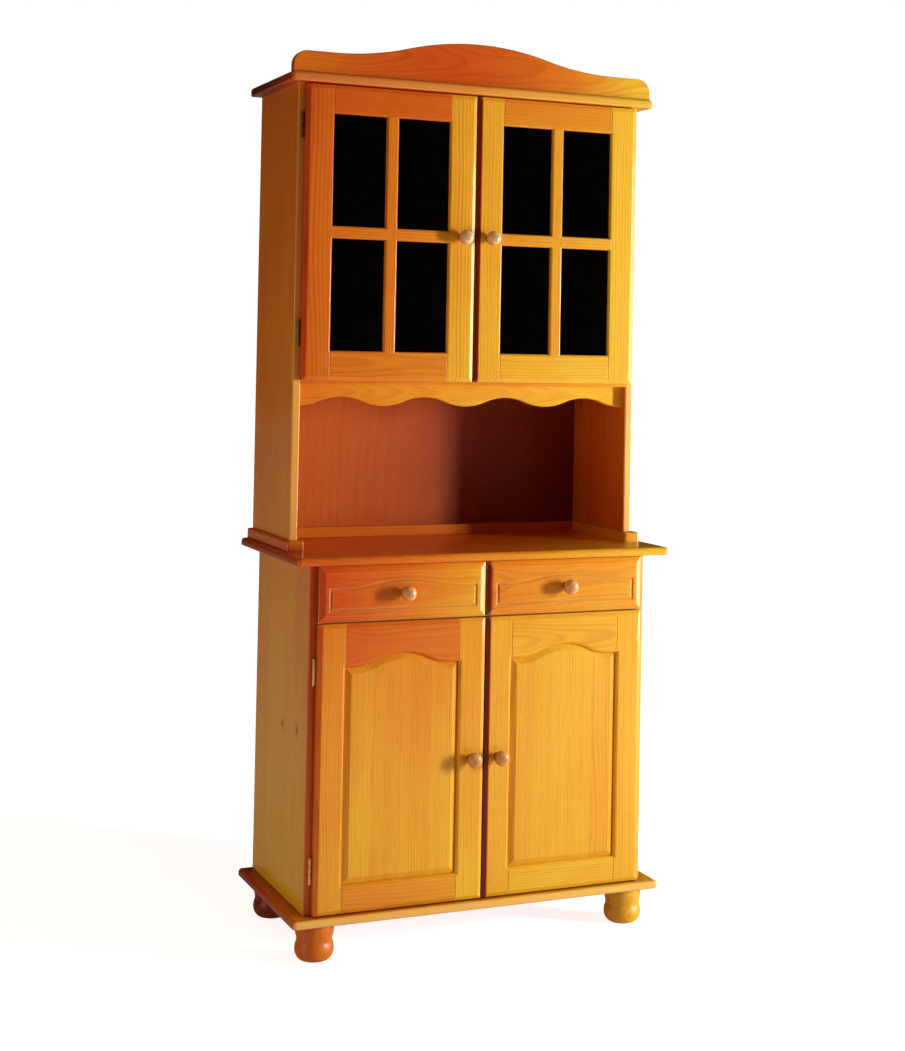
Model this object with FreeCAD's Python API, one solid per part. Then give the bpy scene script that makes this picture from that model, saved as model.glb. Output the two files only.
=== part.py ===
import FreeCAD, Part
import math
import os
from FreeCAD import Vector

# Two-part dresser of varnished pine: a cupboard on bun feet with two drawers and two
# raised-panel doors, and on its worktop a hutch with an open niche and two glazed doors.
# Millimetres, +X to the right of someone facing it, -Y to the front, +Z up. The origin is
# on the floor, in the middle of the width and of the depth from knob fronts to back.
# Every left-hand piece is modelled, and its right-hand twin is its mirror image.

# Heights of the stack, from the floor up
foot_height = 79.0
base_thickness = 18.0
lower_case_height = 733.0
worktop_thickness = 18.0
runner_height = 22.0
hutch_side_height = 987.0
cornice_thickness = 21.0
crest_height = 92.0

# Widths and depths of the boards
worktop_width = 880.0
worktop_depth = 420.0
lower_case_width = 794.0
base_side_overhang = 33.0
base_width = lower_case_width + 2 * base_side_overhang
base_setback = 10.0
hutch_width = 828.0
hutch_depth = 278.0
cornice_width = 880.0
crest_width = 868.0
side_thickness = 18.0
side_edge_round = 3.0

# Rounded noses of the projecting boards
board_corner_radius = 10.0
worktop_upper_round = 8.0
worktop_lower_round = 5.0
cornice_upper_round = 9.0
cornice_lower_round = 4.0

# Doors and drawer fronts
door_thickness = 18.0
door_gap = 3.0
meeting_gap = 3.0
front_gap = 3.0
door_bevel_width = 8.5
door_bevel_depth = 4.0
drawer_bevel_width = 13.5
drawer_bevel_depth = 6.5
worktop_overhang = 23.0
cornice_overhang = 12.0

# Lower doors
lower_door_lap = 3.0
lower_stile_width = 61.0
lower_bottom_rail = 59.5
lower_top_rail = 93.0
lower_door_floor_gap = 2.0
arch_rise = 26.0
arch_shoulder = 16.0
sticking_radius = 8.0
panel_groove_depth = 8.0
panel_tongue_front = 9.0
panel_tongue_thickness = 6.0
panel_slack = 1.0
panel_field_recess = 2.0
panel_bevel_width = 14.0
seat_gap = 0.1

# Glazed doors
hutch_door_lap = 5.0
hutch_stile_width = 63.0
hutch_bottom_rail = 64.5
hutch_top_rail = 61.5
hutch_door_head_gap = 3.0
hutch_door_floor_lap = 10.0
muntin_width = 27.0
muntin_thickness = 10.0
glazing_radius = 4.0
glass_rebate = 8.0
glass_thickness = 3.0
glass_slack = 1.0
bead_thickness = 4.5

# Joints of the door frames
tenon_length = 25.0
tenon_thickness = 6.0
tenon_shoulder = 10.0
joint_line_width = 2.0
joint_line_depth = 1.0

# Drawers
drawer_front_height = 118.0
drawer_head_gap = 4.0
drawer_front_gap = 1.0
drawer_side_thickness = 12.0
drawer_side_height = 84.0
drawer_box_depth = 335.0
drawer_bottom_thickness = 4.0
drawer_bottom_rise = 8.0
drawer_groove_depth = 5.0
drawer_side_gap = 1.5
drawer_running_gap = 0.3
groove_margin = 21.5
groove_bottom_margin = 22.0
groove_spring_drop = 46.0
groove_arch_rise = 15.5
groove_shoulder = 24.0
groove_width = 7.0
groove_wall = 2.0
groove_depth = 2.0

# Frame of the lower case
rail_thickness = 18.0
rail_depth = 60.0
divider_thickness = 18.0
centre_runner_width = 60.0
side_runner_width = 22.0
back_thickness = 4.0
back_inset = 10.0
back_groove_depth = 6.0
shelf_thickness = 16.0
lower_shelf_drop = 300.0
shelf_setback = 35.0
shelf_side_gap = 1.0
shelf_edge_round = 2.0
cleat_section = 14.0
cleat_inset = 15.0

# Hutch
runner_overhang_out = 12.0
runner_overhang_in = 9.0
runner_front_overhang = 24.0
runner_end_round = 6.0
runner_lip_round = 4.0
back_strip_thickness = 20.0
niche_height = 358.0
hutch_floor_thickness = 18.0
valance_drop = 48.0
valance_wave_height = 20.0
valance_wave_count = 4
valance_thickness = 18.0
valance_setback = 20.0
valance_edge_round = 4.0
crest_thickness = 20.0
crest_setback = 9.0
crest_shoulder_height = 46.0
crest_end_radius = 32.0
crest_shoulder_length = 62.0
crest_edge_round = 2.0

# Turned feet: the radius at each height share of the foot
foot_inset_side = 64.0
foot_inset_depth = 52.0
foot_ring_radius = 41.5
foot_waist_radius = 39.0
foot_bulge_radius = 42.0
foot_sole_radius = 24.0
foot_top_radius = 40.0
foot_bulge_share = 0.32
foot_waist_share = 0.52
foot_ring_share = 0.72
foot_tenon_radius = 12.0
foot_tenon_length = 13.0

# Knobs
knob_reach = 40.0
knob_ball_radius = 16.5
knob_neck_radius = 7.0
knob_base_radius = 9.0
knob_base_thickness = 3.0
lower_knob_height = 403.0

# Hinges and catches
hinge_length = 56.0
lower_hinge_rise = 91.0
lower_hinge_drop = 101.0
hutch_hinge_rise = 101.0
hutch_hinge_drop = 89.0
knuckle_radius = 3.5
knuckle_clearance = 0.5
knuckle_lift = 0.4
pin_radius = 1.5
pin_clearance = 0.05
pin_head_radius = 2.3
pin_head_height = 1.5
leaf_thickness = 1.2
leaf_width = 20.0
leaf_wrap = 18.0
screw_radius = 2.6
screw_head_height = 0.6
screw_edge = 8.0
catch_width = 46.0
catch_depth = 14.0
catch_height = 12.0
catch_edge = 14.0
strike_thickness = 1.2
strike_gap = 0.5

# Heights worked out from the stack
base_bottom = foot_height
base_top = base_bottom + base_thickness
case_top = base_top + lower_case_height
worktop_top = case_top + worktop_thickness
hutch_bottom = worktop_top + runner_height
hutch_top = hutch_bottom + hutch_side_height
cornice_top = hutch_top + cornice_thickness
drawer_top = case_top - drawer_head_gap
drawer_bottom = drawer_top - drawer_front_height
lower_door_top = drawer_bottom - front_gap
lower_door_bottom = base_top + lower_door_floor_gap
hutch_floor_bottom = worktop_top + niche_height
hutch_floor_top = hutch_floor_bottom + hutch_floor_thickness
hutch_door_bottom = hutch_floor_top - hutch_door_floor_lap
hutch_door_top = hutch_top - hutch_door_head_gap
runner_top = drawer_bottom + drawer_bottom_rise
cross_rail_bottom = runner_top - rail_thickness
top_rail_bottom = case_top - rail_thickness

# Depths, from the back forward
rear = (worktop_depth + knob_reach - worktop_overhang) / 2
worktop_front = rear - worktop_depth
base_front = worktop_front + base_setback
lower_face = worktop_front + worktop_overhang
lower_door_back = lower_face + door_thickness
lower_case_front = lower_door_back + door_gap
drawer_front_back = lower_case_front - drawer_front_gap
hutch_case_front = rear - hutch_depth
hutch_door_back = hutch_case_front - door_gap
hutch_face = hutch_door_back - door_thickness
cornice_front = hutch_face - cornice_overhang
crest_front = cornice_front + crest_setback
back_front = rear - back_inset - back_thickness
back_rear = rear - back_inset

# Half widths
lower_outer = lower_case_width / 2
lower_inner = lower_outer - side_thickness
hutch_outer = hutch_width / 2
hutch_inner = hutch_outer - side_thickness
lower_door_outer = lower_inner + lower_door_lap
hutch_door_outer = hutch_inner + hutch_door_lap
front_inner = meeting_gap / 2
divider_half = divider_thickness / 2

# Sloppy tools: cuts run past the wood by this much, and places match within this much
overrun = 5.0
tolerance = 0.001

exported = []


def block(x_span, y_span, z_span):
    """A plain board between two places on each axis."""
    low = Vector(min(x_span), min(y_span), min(z_span))
    high = Vector(max(x_span), max(y_span), max(z_span))
    size = high - low
    return Part.makeBox(size.x, size.y, size.z, low)


def lies_at(edge, axis, place):
    """True where both ends of an edge lie at a place on an axis."""
    return all(abs(getattr(vertex.Point, axis) - place) < tolerance for vertex in edge.Vertexes)


def is_along(edge, axis):
    """True for a straight edge that runs along an axis."""
    if len(edge.Vertexes) < 2:
        return False
    step = edge.Vertexes[1].Point - edge.Vertexes[0].Point
    return abs(abs(getattr(step, axis)) - step.Length) < tolerance


def soften(shape, radius, wanted):
    """Round the edges for which wanted(edge) is true."""
    edges = [edge for edge in shape.Edges if wanted(edge)]
    return shape.makeFillet(radius, edges)


def mirrored(shape):
    """The right-hand twin of a left-hand shape."""
    return shape.mirror(Vector(0, 0, 0), Vector(1, 0, 0))


def joined(first, *others):
    """Several touching shapes as one clean solid."""
    for other in others:
        first = first.fuse(other)
    return first.removeSplitter()


def group(*shapes):
    """Several separate solids that share one node."""
    solids = []
    for shape in shapes:
        solids.extend(shape.Solids)
    return Part.makeCompound(solids)


def export(node, shape):
    """Check a node's solids, then write its file."""
    for solid in shape.Solids:
        if not solid.isValid() or solid.Volume <= 0:
            raise ValueError(node + " has a faulty solid")
    if not shape.Solids:
        raise ValueError(node + " has no solid")
    clean = shape.Solids[0] if len(shape.Solids) == 1 else Part.makeCompound(shape.Solids)
    clean.exportStep("parts/" + node + ".step")
    exported.append((node, clean))


def export_pair(name, suffix, left_shape):
    """Write a left-hand node and its mirror image, as NAME_left_SUFFIX and NAME_right_SUFFIX."""
    ending = "_" + suffix if suffix else ""
    export(name + "_left" + ending, left_shape)
    export(name + "_right" + ending, mirrored(left_shape))


def rectangle(x_span, z_span, y):
    """An upright rectangular wire facing the front."""
    left, right = x_span
    low, high = z_span
    corners = [Vector(left, y, low), Vector(right, y, low), Vector(right, y, high), Vector(left, y, high)]
    return Part.makePolygon(corners + corners[:1])


def line(start, end):
    """A straight edge."""
    return Part.LineSegment(start, end).toShape()


def s_curve(start, end):
    """Two equal arcs that leave start level and reach end level, in an upright plane."""
    run = (end.x - start.x) / 2
    rise = (end.z - start.z) / 2
    turn = 2 * math.atan2(abs(rise), abs(run))
    radius = abs(run) / math.sin(turn)
    bow_x = math.copysign(radius * math.sin(turn / 2), run)
    bow_z = math.copysign(radius * (1 - math.cos(turn / 2)), rise)
    bow = Vector(bow_x, 0, bow_z)
    middle = (start + end) * 0.5
    return [Part.Arc(start, start + bow, middle).toShape(), Part.Arc(middle, end - bow, end).toShape()]


def arched_wire(x_span, bottom, spring, rise, shoulder, y):
    """A wire with a flat foot, upright sides and an ogee arch between level shoulders."""
    left, right = x_span
    centre = (left + right) / 2
    foot_left, foot_right = Vector(left, y, bottom), Vector(right, y, bottom)
    spring_left, spring_right = Vector(left, y, spring), Vector(right, y, spring)
    rise_left, rise_right = Vector(left + shoulder, y, spring), Vector(right - shoulder, y, spring)
    crown = Vector(centre, y, spring + rise)
    edges = [line(foot_left, foot_right), line(foot_right, spring_right), line(spring_right, rise_right)]
    edges += s_curve(rise_right, crown)
    edges += s_curve(crown, rise_left)
    edges += [line(rise_left, spring_left), line(spring_left, foot_left)]
    return Part.Wire(edges)


def prism(wire, depth):
    """A wire filled and pushed back along Y by depth."""
    return Part.Face(wire).extrude(Vector(0, depth, 0))


def nosed_board(width, front, bottom, top, upper_round, lower_round):
    """A board to the back of the dresser, with round front corners and a rounded nose on three sides."""
    half = width / 2
    board = block((-half, half), (front, rear), (bottom, top))
    board = soften(board, board_corner_radius, lambda edge: is_along(edge, "z") and lies_at(edge, "y", front))

    def rims(level):
        """A test for the edges at a level, the one along the back left out."""
        return lambda edge: lies_at(edge, "z", level) and not lies_at(edge, "y", rear)

    return soften(soften(board, upper_round, rims(top)), lower_round, rims(bottom))


def bevelled_plate(x_span, z_span, face, back, bevel_width, bevel_depth):
    """A blank whose front edges slope back all round."""
    left, right = x_span
    low, high = z_span
    slope_foot = face + bevel_depth
    slab = block(x_span, (slope_foot, back), z_span)
    inner_x = (left + bevel_width, right - bevel_width)
    inner_z = (low + bevel_width, high - bevel_width)
    outer_wire = rectangle(x_span, z_span, slope_foot)
    inner_wire = rectangle(inner_x, inner_z, face)
    return joined(slab, Part.makeLoft([outer_wire, inner_wire], True, True))


def joint_line(x, z_span, face):
    """The fine vee that shows where a rail meets a stile."""
    half = joint_line_width / 2
    low, high = z_span
    bottom_of_vee = Vector(x, face + joint_line_depth, low)
    corners = [Vector(x - half, face, low), Vector(x + half, face, low), bottom_of_vee]
    return Part.Face(Part.makePolygon(corners + corners[:1])).extrude(Vector(0, 0, high - low))


def tenon(x_span, z_span, face, spare):
    """A rail's tongue, or with spare room the mortise that takes it."""
    front = face + (door_thickness - tenon_thickness) / 2
    low, high = z_span
    depth_span = (front - spare, front + tenon_thickness + spare)
    return block(x_span, depth_span, (low - spare, high + spare))


def divide_frame(frame, x_span, z_span, stile, bottom_rail, top_rail, face):
    """Cut a door frame at its joints: outer stile, inner stile, bottom rail, top rail."""
    left, right = x_span
    low, high = z_span
    inner_left, inner_right = left + stile, right - stile
    depth_span = (face - overrun, face + door_thickness + overrun)
    z_all = (low - overrun, high + overrun)
    rails = ((low, low + bottom_rail), (high - top_rail, high))
    for rail_span in rails:
        for x in (inner_left, inner_right):
            frame = frame.cut(joint_line(x, rail_span, face))
    stiles = [frame.common(block((left - overrun, inner_left), depth_span, z_all)),
              frame.common(block((inner_right, right + overrun), depth_span, z_all))]
    between = (inner_left, inner_right)
    middle = (low + high) / 2
    pieces = [frame.common(block(between, depth_span, (low - overrun, middle))),
              frame.common(block(between, depth_span, (middle, high + overrun)))]
    for index, rail_span in enumerate(rails):
        tongue_z = (rail_span[0] + tenon_shoulder, rail_span[1] - tenon_shoulder)
        for place, (root, tip) in enumerate(((inner_left, inner_left - tenon_length),
                                             (inner_right, inner_right + tenon_length))):
            pieces[index] = joined(pieces[index], tenon((root, tip), tongue_z, face, 0))
            slot = (root, tip + math.copysign(seat_gap, tip - root))
            stiles[place] = stiles[place].cut(tenon(slot, tongue_z, face, seat_gap))
    return stiles + pieces


def knob(x, face, z):
    """A turned knob: a foot disc, a neck and a ball, standing on a front."""
    ball_centre = knob_reach - knob_ball_radius
    neck_rise = math.sqrt(knob_ball_radius ** 2 - knob_neck_radius ** 2)
    neck_top = ball_centre - neck_rise
    bow = knob_ball_radius * math.sqrt(0.5)
    foot_centre = Vector(0, 0, 0)
    foot_rim = Vector(knob_base_radius, 0, 0)
    step = Vector(knob_base_radius, 0, knob_base_thickness / 2)
    step_top = Vector(knob_neck_radius, 0, knob_base_thickness)
    ball_foot = Vector(knob_neck_radius, 0, max(neck_top, knob_base_thickness))
    ball_side = Vector(knob_ball_radius, 0, ball_centre)
    ball_bow = Vector(bow, 0, ball_centre + bow)
    crown = Vector(0, 0, knob_reach)
    lower_angle = math.asin(neck_rise / knob_ball_radius) / 2
    lower_bow = Vector(knob_ball_radius * math.cos(lower_angle), 0,
                       ball_centre - knob_ball_radius * math.sin(lower_angle))
    edges = [line(foot_centre, foot_rim), line(foot_rim, step), line(step, step_top)]
    if neck_top > knob_base_thickness:
        edges.append(line(step_top, ball_foot))
    edges += [Part.Arc(ball_foot, lower_bow, ball_side).toShape(),
              Part.Arc(ball_side, ball_bow, crown).toShape(), line(crown, foot_centre)]
    turned = Part.Face(Part.Wire(edges)).revolve(foot_centre, Vector(0, 0, 1), 360)
    turned.rotate(foot_centre, Vector(1, 0, 0), 90)
    turned.translate(Vector(x, face, z))
    return turned


def foot(x, y):
    """A turned bun foot: a ring, a waist and a bulge on a flat sole."""
    bulge_z = foot_height * foot_bulge_share
    waist_z = foot_height * foot_waist_share
    ring_z = foot_height * foot_ring_share
    profile = Part.BSplineCurve()
    profile.interpolate([Vector(foot_sole_radius, 0, 0), Vector(foot_bulge_radius, 0, bulge_z),
                         Vector(foot_waist_radius, 0, waist_z), Vector(foot_ring_radius, 0, ring_z),
                         Vector(foot_top_radius, 0, foot_height)])
    edges = [line(Vector(0, 0, 0), Vector(foot_sole_radius, 0, 0)), profile.toShape(),
             line(Vector(foot_top_radius, 0, foot_height), Vector(0, 0, foot_height)),
             line(Vector(0, 0, foot_height), Vector(0, 0, 0))]
    turned = Part.Face(Part.Wire(edges)).revolve(Vector(0, 0, 0), Vector(0, 0, 1), 360)
    turned.translate(Vector(x, y, 0))
    return joined(turned, foot_tenon(x, y, 0))


def foot_tenon(x, y, spare):
    """The round tenon on top of a foot, or with spare room the hole that takes it."""
    length = foot_tenon_length + spare
    return Part.makeCylinder(foot_tenon_radius + spare, length, Vector(x, y, foot_height))


def foot_places():
    """The centres of the left feet, front then rear."""
    x = foot_inset_side - base_width / 2
    return [(x, base_front + foot_inset_depth), (x, rear - foot_inset_depth)]


def make_feet():
    """Four feet, their tenons let into the base board."""
    front_place, rear_place = foot_places()
    export_pair("foot_front", "", foot(*front_place))
    export_pair("foot_rear", "", foot(*rear_place))


def back_groove(inner, z_span):
    """The groove in a side's inner face that takes the edge of a back panel."""
    reach = inner + back_groove_depth + seat_gap
    return block((-reach, -inner + overrun), (back_front - seat_gap, back_rear + seat_gap), z_span)


def case_side(outer, front, z_span):
    """The left side of a case, with softened front edges and a groove for the back panel."""
    side = block((-outer, -(outer - side_thickness)), (front, rear), z_span)
    side = soften(side, side_edge_round, lambda edge: is_along(edge, "z") and lies_at(edge, "y", front))
    return side.cut(back_groove(outer - side_thickness, z_span))


def back_panel(inner, z_span):
    """A thin panel between the sides, let into their grooves."""
    half = inner + back_groove_depth
    return block((-half, half), (back_front, back_rear), z_span)


def shelf_with_cleats(inner, front, top):
    """A loose shelf and the two cleats that carry it."""
    half = inner - shelf_side_gap
    shelf_front = front + shelf_setback
    shelf = block((-half, half), (shelf_front, back_front - shelf_side_gap), (top - shelf_thickness, top))
    shelf = soften(shelf, shelf_edge_round,
                   lambda edge: is_along(edge, "x") and lies_at(edge, "y", shelf_front))
    cleat_z = (top - shelf_thickness - cleat_section, top - shelf_thickness)
    cleat_y = (shelf_front + cleat_inset, back_front - cleat_inset)
    cleat = block((-inner, -inner + cleat_section), cleat_y, cleat_z)
    return shelf, [cleat, mirrored(cleat)]


def make_lower_case():
    """Base board, sides, back, rails, divider, drawer runners, shelf and worktop."""
    base = nosed_board(base_width, base_front, base_bottom, base_top,
                       worktop_upper_round, worktop_lower_round)
    for place in foot_places():
        hole = foot_tenon(*place, seat_gap)
        base = base.cut(hole).cut(mirrored(hole))
    export("base_board", base)
    export("worktop", nosed_board(worktop_width, worktop_front, case_top, worktop_top,
                                  worktop_upper_round, worktop_lower_round))
    upright = (base_top, case_top)
    export_pair("lower_side", "", case_side(lower_outer, lower_case_front, upright))
    export("lower_back_panel", back_panel(lower_inner, upright))
    inside = (-lower_inner, lower_inner)
    front_span = (lower_case_front, lower_case_front + rail_depth)
    rear_span = (back_front - rail_depth, back_front)
    low_rail = (cross_rail_bottom, runner_top)
    high_rail = (top_rail_bottom, case_top)
    export("case_rails", group(block(inside, front_span, low_rail), block(inside, rear_span, low_rail),
                               block(inside, front_span, high_rail), block(inside, rear_span, high_rail)))
    between_rails = (front_span[1], rear_span[0])
    side_runner = block((-lower_inner, -lower_inner + side_runner_width), between_rails, low_rail)
    centre_half = centre_runner_width / 2
    export("drawer_runners", group(side_runner, mirrored(side_runner),
                                   block((-centre_half, centre_half), between_rails, low_rail)))
    export("drawer_divider", block((-divider_half, divider_half), (lower_case_front, back_front),
                                   (runner_top, top_rail_bottom)))


def make_shelves():
    """The loose shelves of the cupboard and of the glazed compartment, and their cleats."""
    lower_top = cross_rail_bottom - lower_shelf_drop
    lower_shelf, lower_cleats = shelf_with_cleats(lower_inner, lower_case_front, lower_top)
    window_middle = (hutch_door_bottom + hutch_bottom_rail + hutch_door_top - hutch_top_rail) / 2
    hutch_shelf_top = window_middle + shelf_thickness / 2
    hutch_shelf, hutch_cleats = shelf_with_cleats(hutch_inner, hutch_case_front, hutch_shelf_top)
    export("lower_shelf", lower_shelf)
    export("hutch_shelf", hutch_shelf)
    export("shelf_cleats", group(*(lower_cleats + hutch_cleats)))


def hutch_runner():
    """The moulded rail that the left side of the hutch stands on."""
    outer = -(hutch_outer + runner_overhang_out)
    inner = -(hutch_inner - runner_overhang_in)
    front = hutch_case_front - runner_front_overhang
    rail = block((outer, inner), (front, rear), (worktop_top, hutch_bottom))
    rail = soften(rail, runner_end_round, lambda edge: is_along(edge, "z") and lies_at(edge, "y", front))
    return soften(rail, runner_lip_round, lambda edge: lies_at(edge, "z", hutch_bottom)
                  and not lies_at(edge, "y", rear))


def valance():
    """The board under the hutch floor, its lower edge cut in waves."""
    front = hutch_case_front + valance_setback
    low = hutch_floor_bottom - valance_drop
    step = hutch_inner / valance_wave_count
    points = []
    for index in range(2 * valance_wave_count + 1):
        height = low + (valance_wave_height if index % 2 else 0)
        points.append(Vector(-hutch_inner + index * step, front, height))
    edges = []
    for start, end in zip(points, points[1:]):
        edges += s_curve(start, end)
    top_left = Vector(-hutch_inner, front, hutch_floor_bottom)
    top_right = Vector(hutch_inner, front, hutch_floor_bottom)
    edges += [line(points[-1], top_right), line(top_right, top_left), line(top_left, points[0])]
    board = prism(Part.Wire(edges), valance_thickness)
    wave_top = low + valance_wave_height
    return soften(board, valance_edge_round, lambda edge: lies_at(edge, "y", front)
                  and edge.BoundBox.ZMax < wave_top + tolerance and not is_along(edge, "z"))


def crest():
    """The shaped board that stands on the cornice: round ends, level shoulders and a hump."""
    half = crest_width / 2
    shoulder = cornice_top + crest_shoulder_height
    inset = crest_end_radius * (1 - math.sqrt(0.5))
    hump = half - crest_end_radius - crest_shoulder_length
    y = crest_front
    crown = Vector(0, y, cornice_top + crest_height)
    left_foot, right_foot = Vector(-half, y, cornice_top), Vector(half, y, cornice_top)
    left_low = Vector(-half, y, shoulder - crest_end_radius)
    right_low = Vector(half, y, shoulder - crest_end_radius)
    left_top = Vector(crest_end_radius - half, y, shoulder)
    right_top = Vector(half - crest_end_radius, y, shoulder)
    left_bow, right_bow = Vector(inset - half, y, shoulder - inset), Vector(half - inset, y, shoulder - inset)
    hump_left, hump_right = Vector(-hump, y, shoulder), Vector(hump, y, shoulder)
    edges = [line(left_foot, left_low), Part.Arc(left_low, left_bow, left_top).toShape()]
    edges += [line(left_top, hump_left)] + s_curve(hump_left, crown) + s_curve(crown, hump_right)
    edges += [line(hump_right, right_top), Part.Arc(right_top, right_bow, right_low).toShape(),
              line(right_low, right_foot), line(right_foot, left_foot)]
    board = prism(Part.Wire(edges), crest_thickness)
    return soften(board, crest_edge_round, lambda edge: not is_along(edge, "y")
                  and not lies_at(edge, "z", cornice_top))


def make_hutch():
    """Runners, sides, back, floor, valance, cornice and crest."""
    export_pair("hutch_runner", "", hutch_runner())
    export_pair("hutch_side", "", case_side(hutch_outer, hutch_case_front, (hutch_bottom, hutch_top)))
    export("hutch_back_panel", back_panel(hutch_inner, (hutch_bottom, hutch_top)))
    strip_half = hutch_inner - runner_overhang_in
    strip_y = (back_front - back_strip_thickness, back_rear)
    export("hutch_back_strip", block((-strip_half, strip_half), strip_y, (worktop_top, hutch_bottom)))
    floor_z = (hutch_floor_bottom, hutch_floor_top)
    export("hutch_floor", block((-hutch_inner, hutch_inner), (hutch_case_front, back_front), floor_z))
    export("valance", valance())
    export("cornice", nosed_board(cornice_width, cornice_front, hutch_top, cornice_top,
                                  cornice_upper_round, cornice_lower_round))
    export("crest", crest())


def make_lower_doors():
    """Two framed doors, each with an arched top rail and a raised panel."""
    x_span = (-lower_door_outer, -front_inner)
    z_span = (lower_door_bottom, lower_door_top)
    opening_x = (x_span[0] + lower_stile_width, x_span[1] - lower_stile_width)
    sill = z_span[0] + lower_bottom_rail
    spring = z_span[1] - lower_top_rail
    tongue_front = lower_face + panel_tongue_front

    def arch(margin, y):
        """The outline of the opening, grown by a margin."""
        span = (opening_x[0] - margin, opening_x[1] + margin)
        return arched_wire(span, sill - margin, spring + margin, arch_rise, arch_shoulder + margin, y)

    frame = bevelled_plate(x_span, z_span, lower_face, lower_door_back, door_bevel_width, door_bevel_depth)
    frame = frame.cut(prism(arch(0, lower_face - overrun), door_thickness + 2 * overrun))
    groove = prism(arch(panel_groove_depth, tongue_front - seat_gap), panel_tongue_thickness + 2 * seat_gap)
    frame = frame.cut(groove)
    rim = (z_span[0] + door_bevel_width, z_span[1] - door_bevel_width)
    frame = soften(frame, sticking_radius, lambda edge: lies_at(edge, "y", lower_face)
                   and edge.BoundBox.ZMin > rim[0] + tolerance and edge.BoundBox.ZMax < rim[1] - tolerance)
    hinge_stile, lock_stile, bottom_rail, top_rail = divide_frame(
        frame, x_span, z_span, lower_stile_width, lower_bottom_rail, lower_top_rail, lower_face)

    tongue = prism(arch(panel_groove_depth - panel_slack, tongue_front), panel_tongue_thickness)
    field_y = lower_face + panel_field_recess
    slope = Part.makeLoft([arch(-seat_gap, tongue_front), arch(-panel_bevel_width, field_y)], True, True)
    panel = joined(tongue, slope)
    export_pair("lower_door", "stiles", group(hinge_stile, lock_stile))
    export_pair("lower_door", "top_rail", top_rail)
    export_pair("lower_door", "bottom_rail", bottom_rail)
    export_pair("lower_door", "panel", panel)
    knob_x = x_span[1] - lower_stile_width / 2
    export_pair("lower_door", "knob", knob(knob_x, lower_face, lower_knob_height))


def make_hutch_doors():
    """Two glazed doors, each with four panes in front of one sheet of glass."""
    x_span = (-hutch_door_outer, -front_inner)
    z_span = (hutch_door_bottom, hutch_door_top)
    window_x = (x_span[0] + hutch_stile_width, x_span[1] - hutch_stile_width)
    window_z = (z_span[0] + hutch_bottom_rail, z_span[1] - hutch_top_rail)
    centre_x = sum(window_x) / 2
    centre_z = sum(window_z) / 2
    half_bar = muntin_width / 2
    frame = bevelled_plate(x_span, z_span, hutch_face, hutch_door_back, door_bevel_width, door_bevel_depth)
    through = (hutch_face - overrun, hutch_door_back + overrun)
    for pane_x in ((window_x[0], centre_x - half_bar), (centre_x + half_bar, window_x[1])):
        for pane_z in ((window_z[0], centre_z - half_bar), (centre_z + half_bar, window_z[1])):
            frame = frame.cut(block(pane_x, through, pane_z))
    rim = (z_span[0] + door_bevel_width, z_span[1] - door_bevel_width)
    frame = soften(frame, glazing_radius, lambda edge: lies_at(edge, "y", hutch_face)
                   and edge.BoundBox.ZMin > rim[0] + tolerance and edge.BoundBox.ZMax < rim[1] - tolerance)
    rebate_x = (window_x[0] - glass_rebate, window_x[1] + glass_rebate)
    rebate_z = (window_z[0] - glass_rebate, window_z[1] + glass_rebate)
    glass_front = hutch_face + muntin_thickness
    frame = frame.cut(block(rebate_x, (glass_front, through[1]), rebate_z))
    muntins = frame.common(block(window_x, through, window_z))
    rim_only = frame.cut(block(window_x, through, window_z))
    hinge_stile, lock_stile, bottom_rail, top_rail = divide_frame(
        rim_only, x_span, z_span, hutch_stile_width, hutch_bottom_rail, hutch_top_rail, hutch_face)

    glass_back = glass_front + seat_gap + glass_thickness
    glass = block((rebate_x[0] + glass_slack, rebate_x[1] - glass_slack),
                  (glass_front + seat_gap, glass_back),
                  (rebate_z[0] + glass_slack, rebate_z[1] - glass_slack))
    bead_y = (glass_back + seat_gap, glass_back + seat_gap + bead_thickness)
    beads = []
    for low, high in ((rebate_z[0], window_z[0]), (window_z[1], rebate_z[1])):
        beads.append(block(rebate_x, bead_y, (low, high)))
    for left, right in ((rebate_x[0], window_x[0]), (window_x[1], rebate_x[1])):
        beads.append(block((left, right), bead_y, window_z))
    export_pair("hutch_door", "stiles", group(hinge_stile, lock_stile))
    export_pair("hutch_door", "rails", group(bottom_rail, top_rail))
    export_pair("hutch_door", "muntins", muntins)
    export_pair("hutch_door", "glass", glass)
    export_pair("hutch_door", "beads", group(*beads))
    export_pair("hutch_door", "knob", knob(x_span[1] - hutch_stile_width / 2, hutch_face, centre_z))


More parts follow.
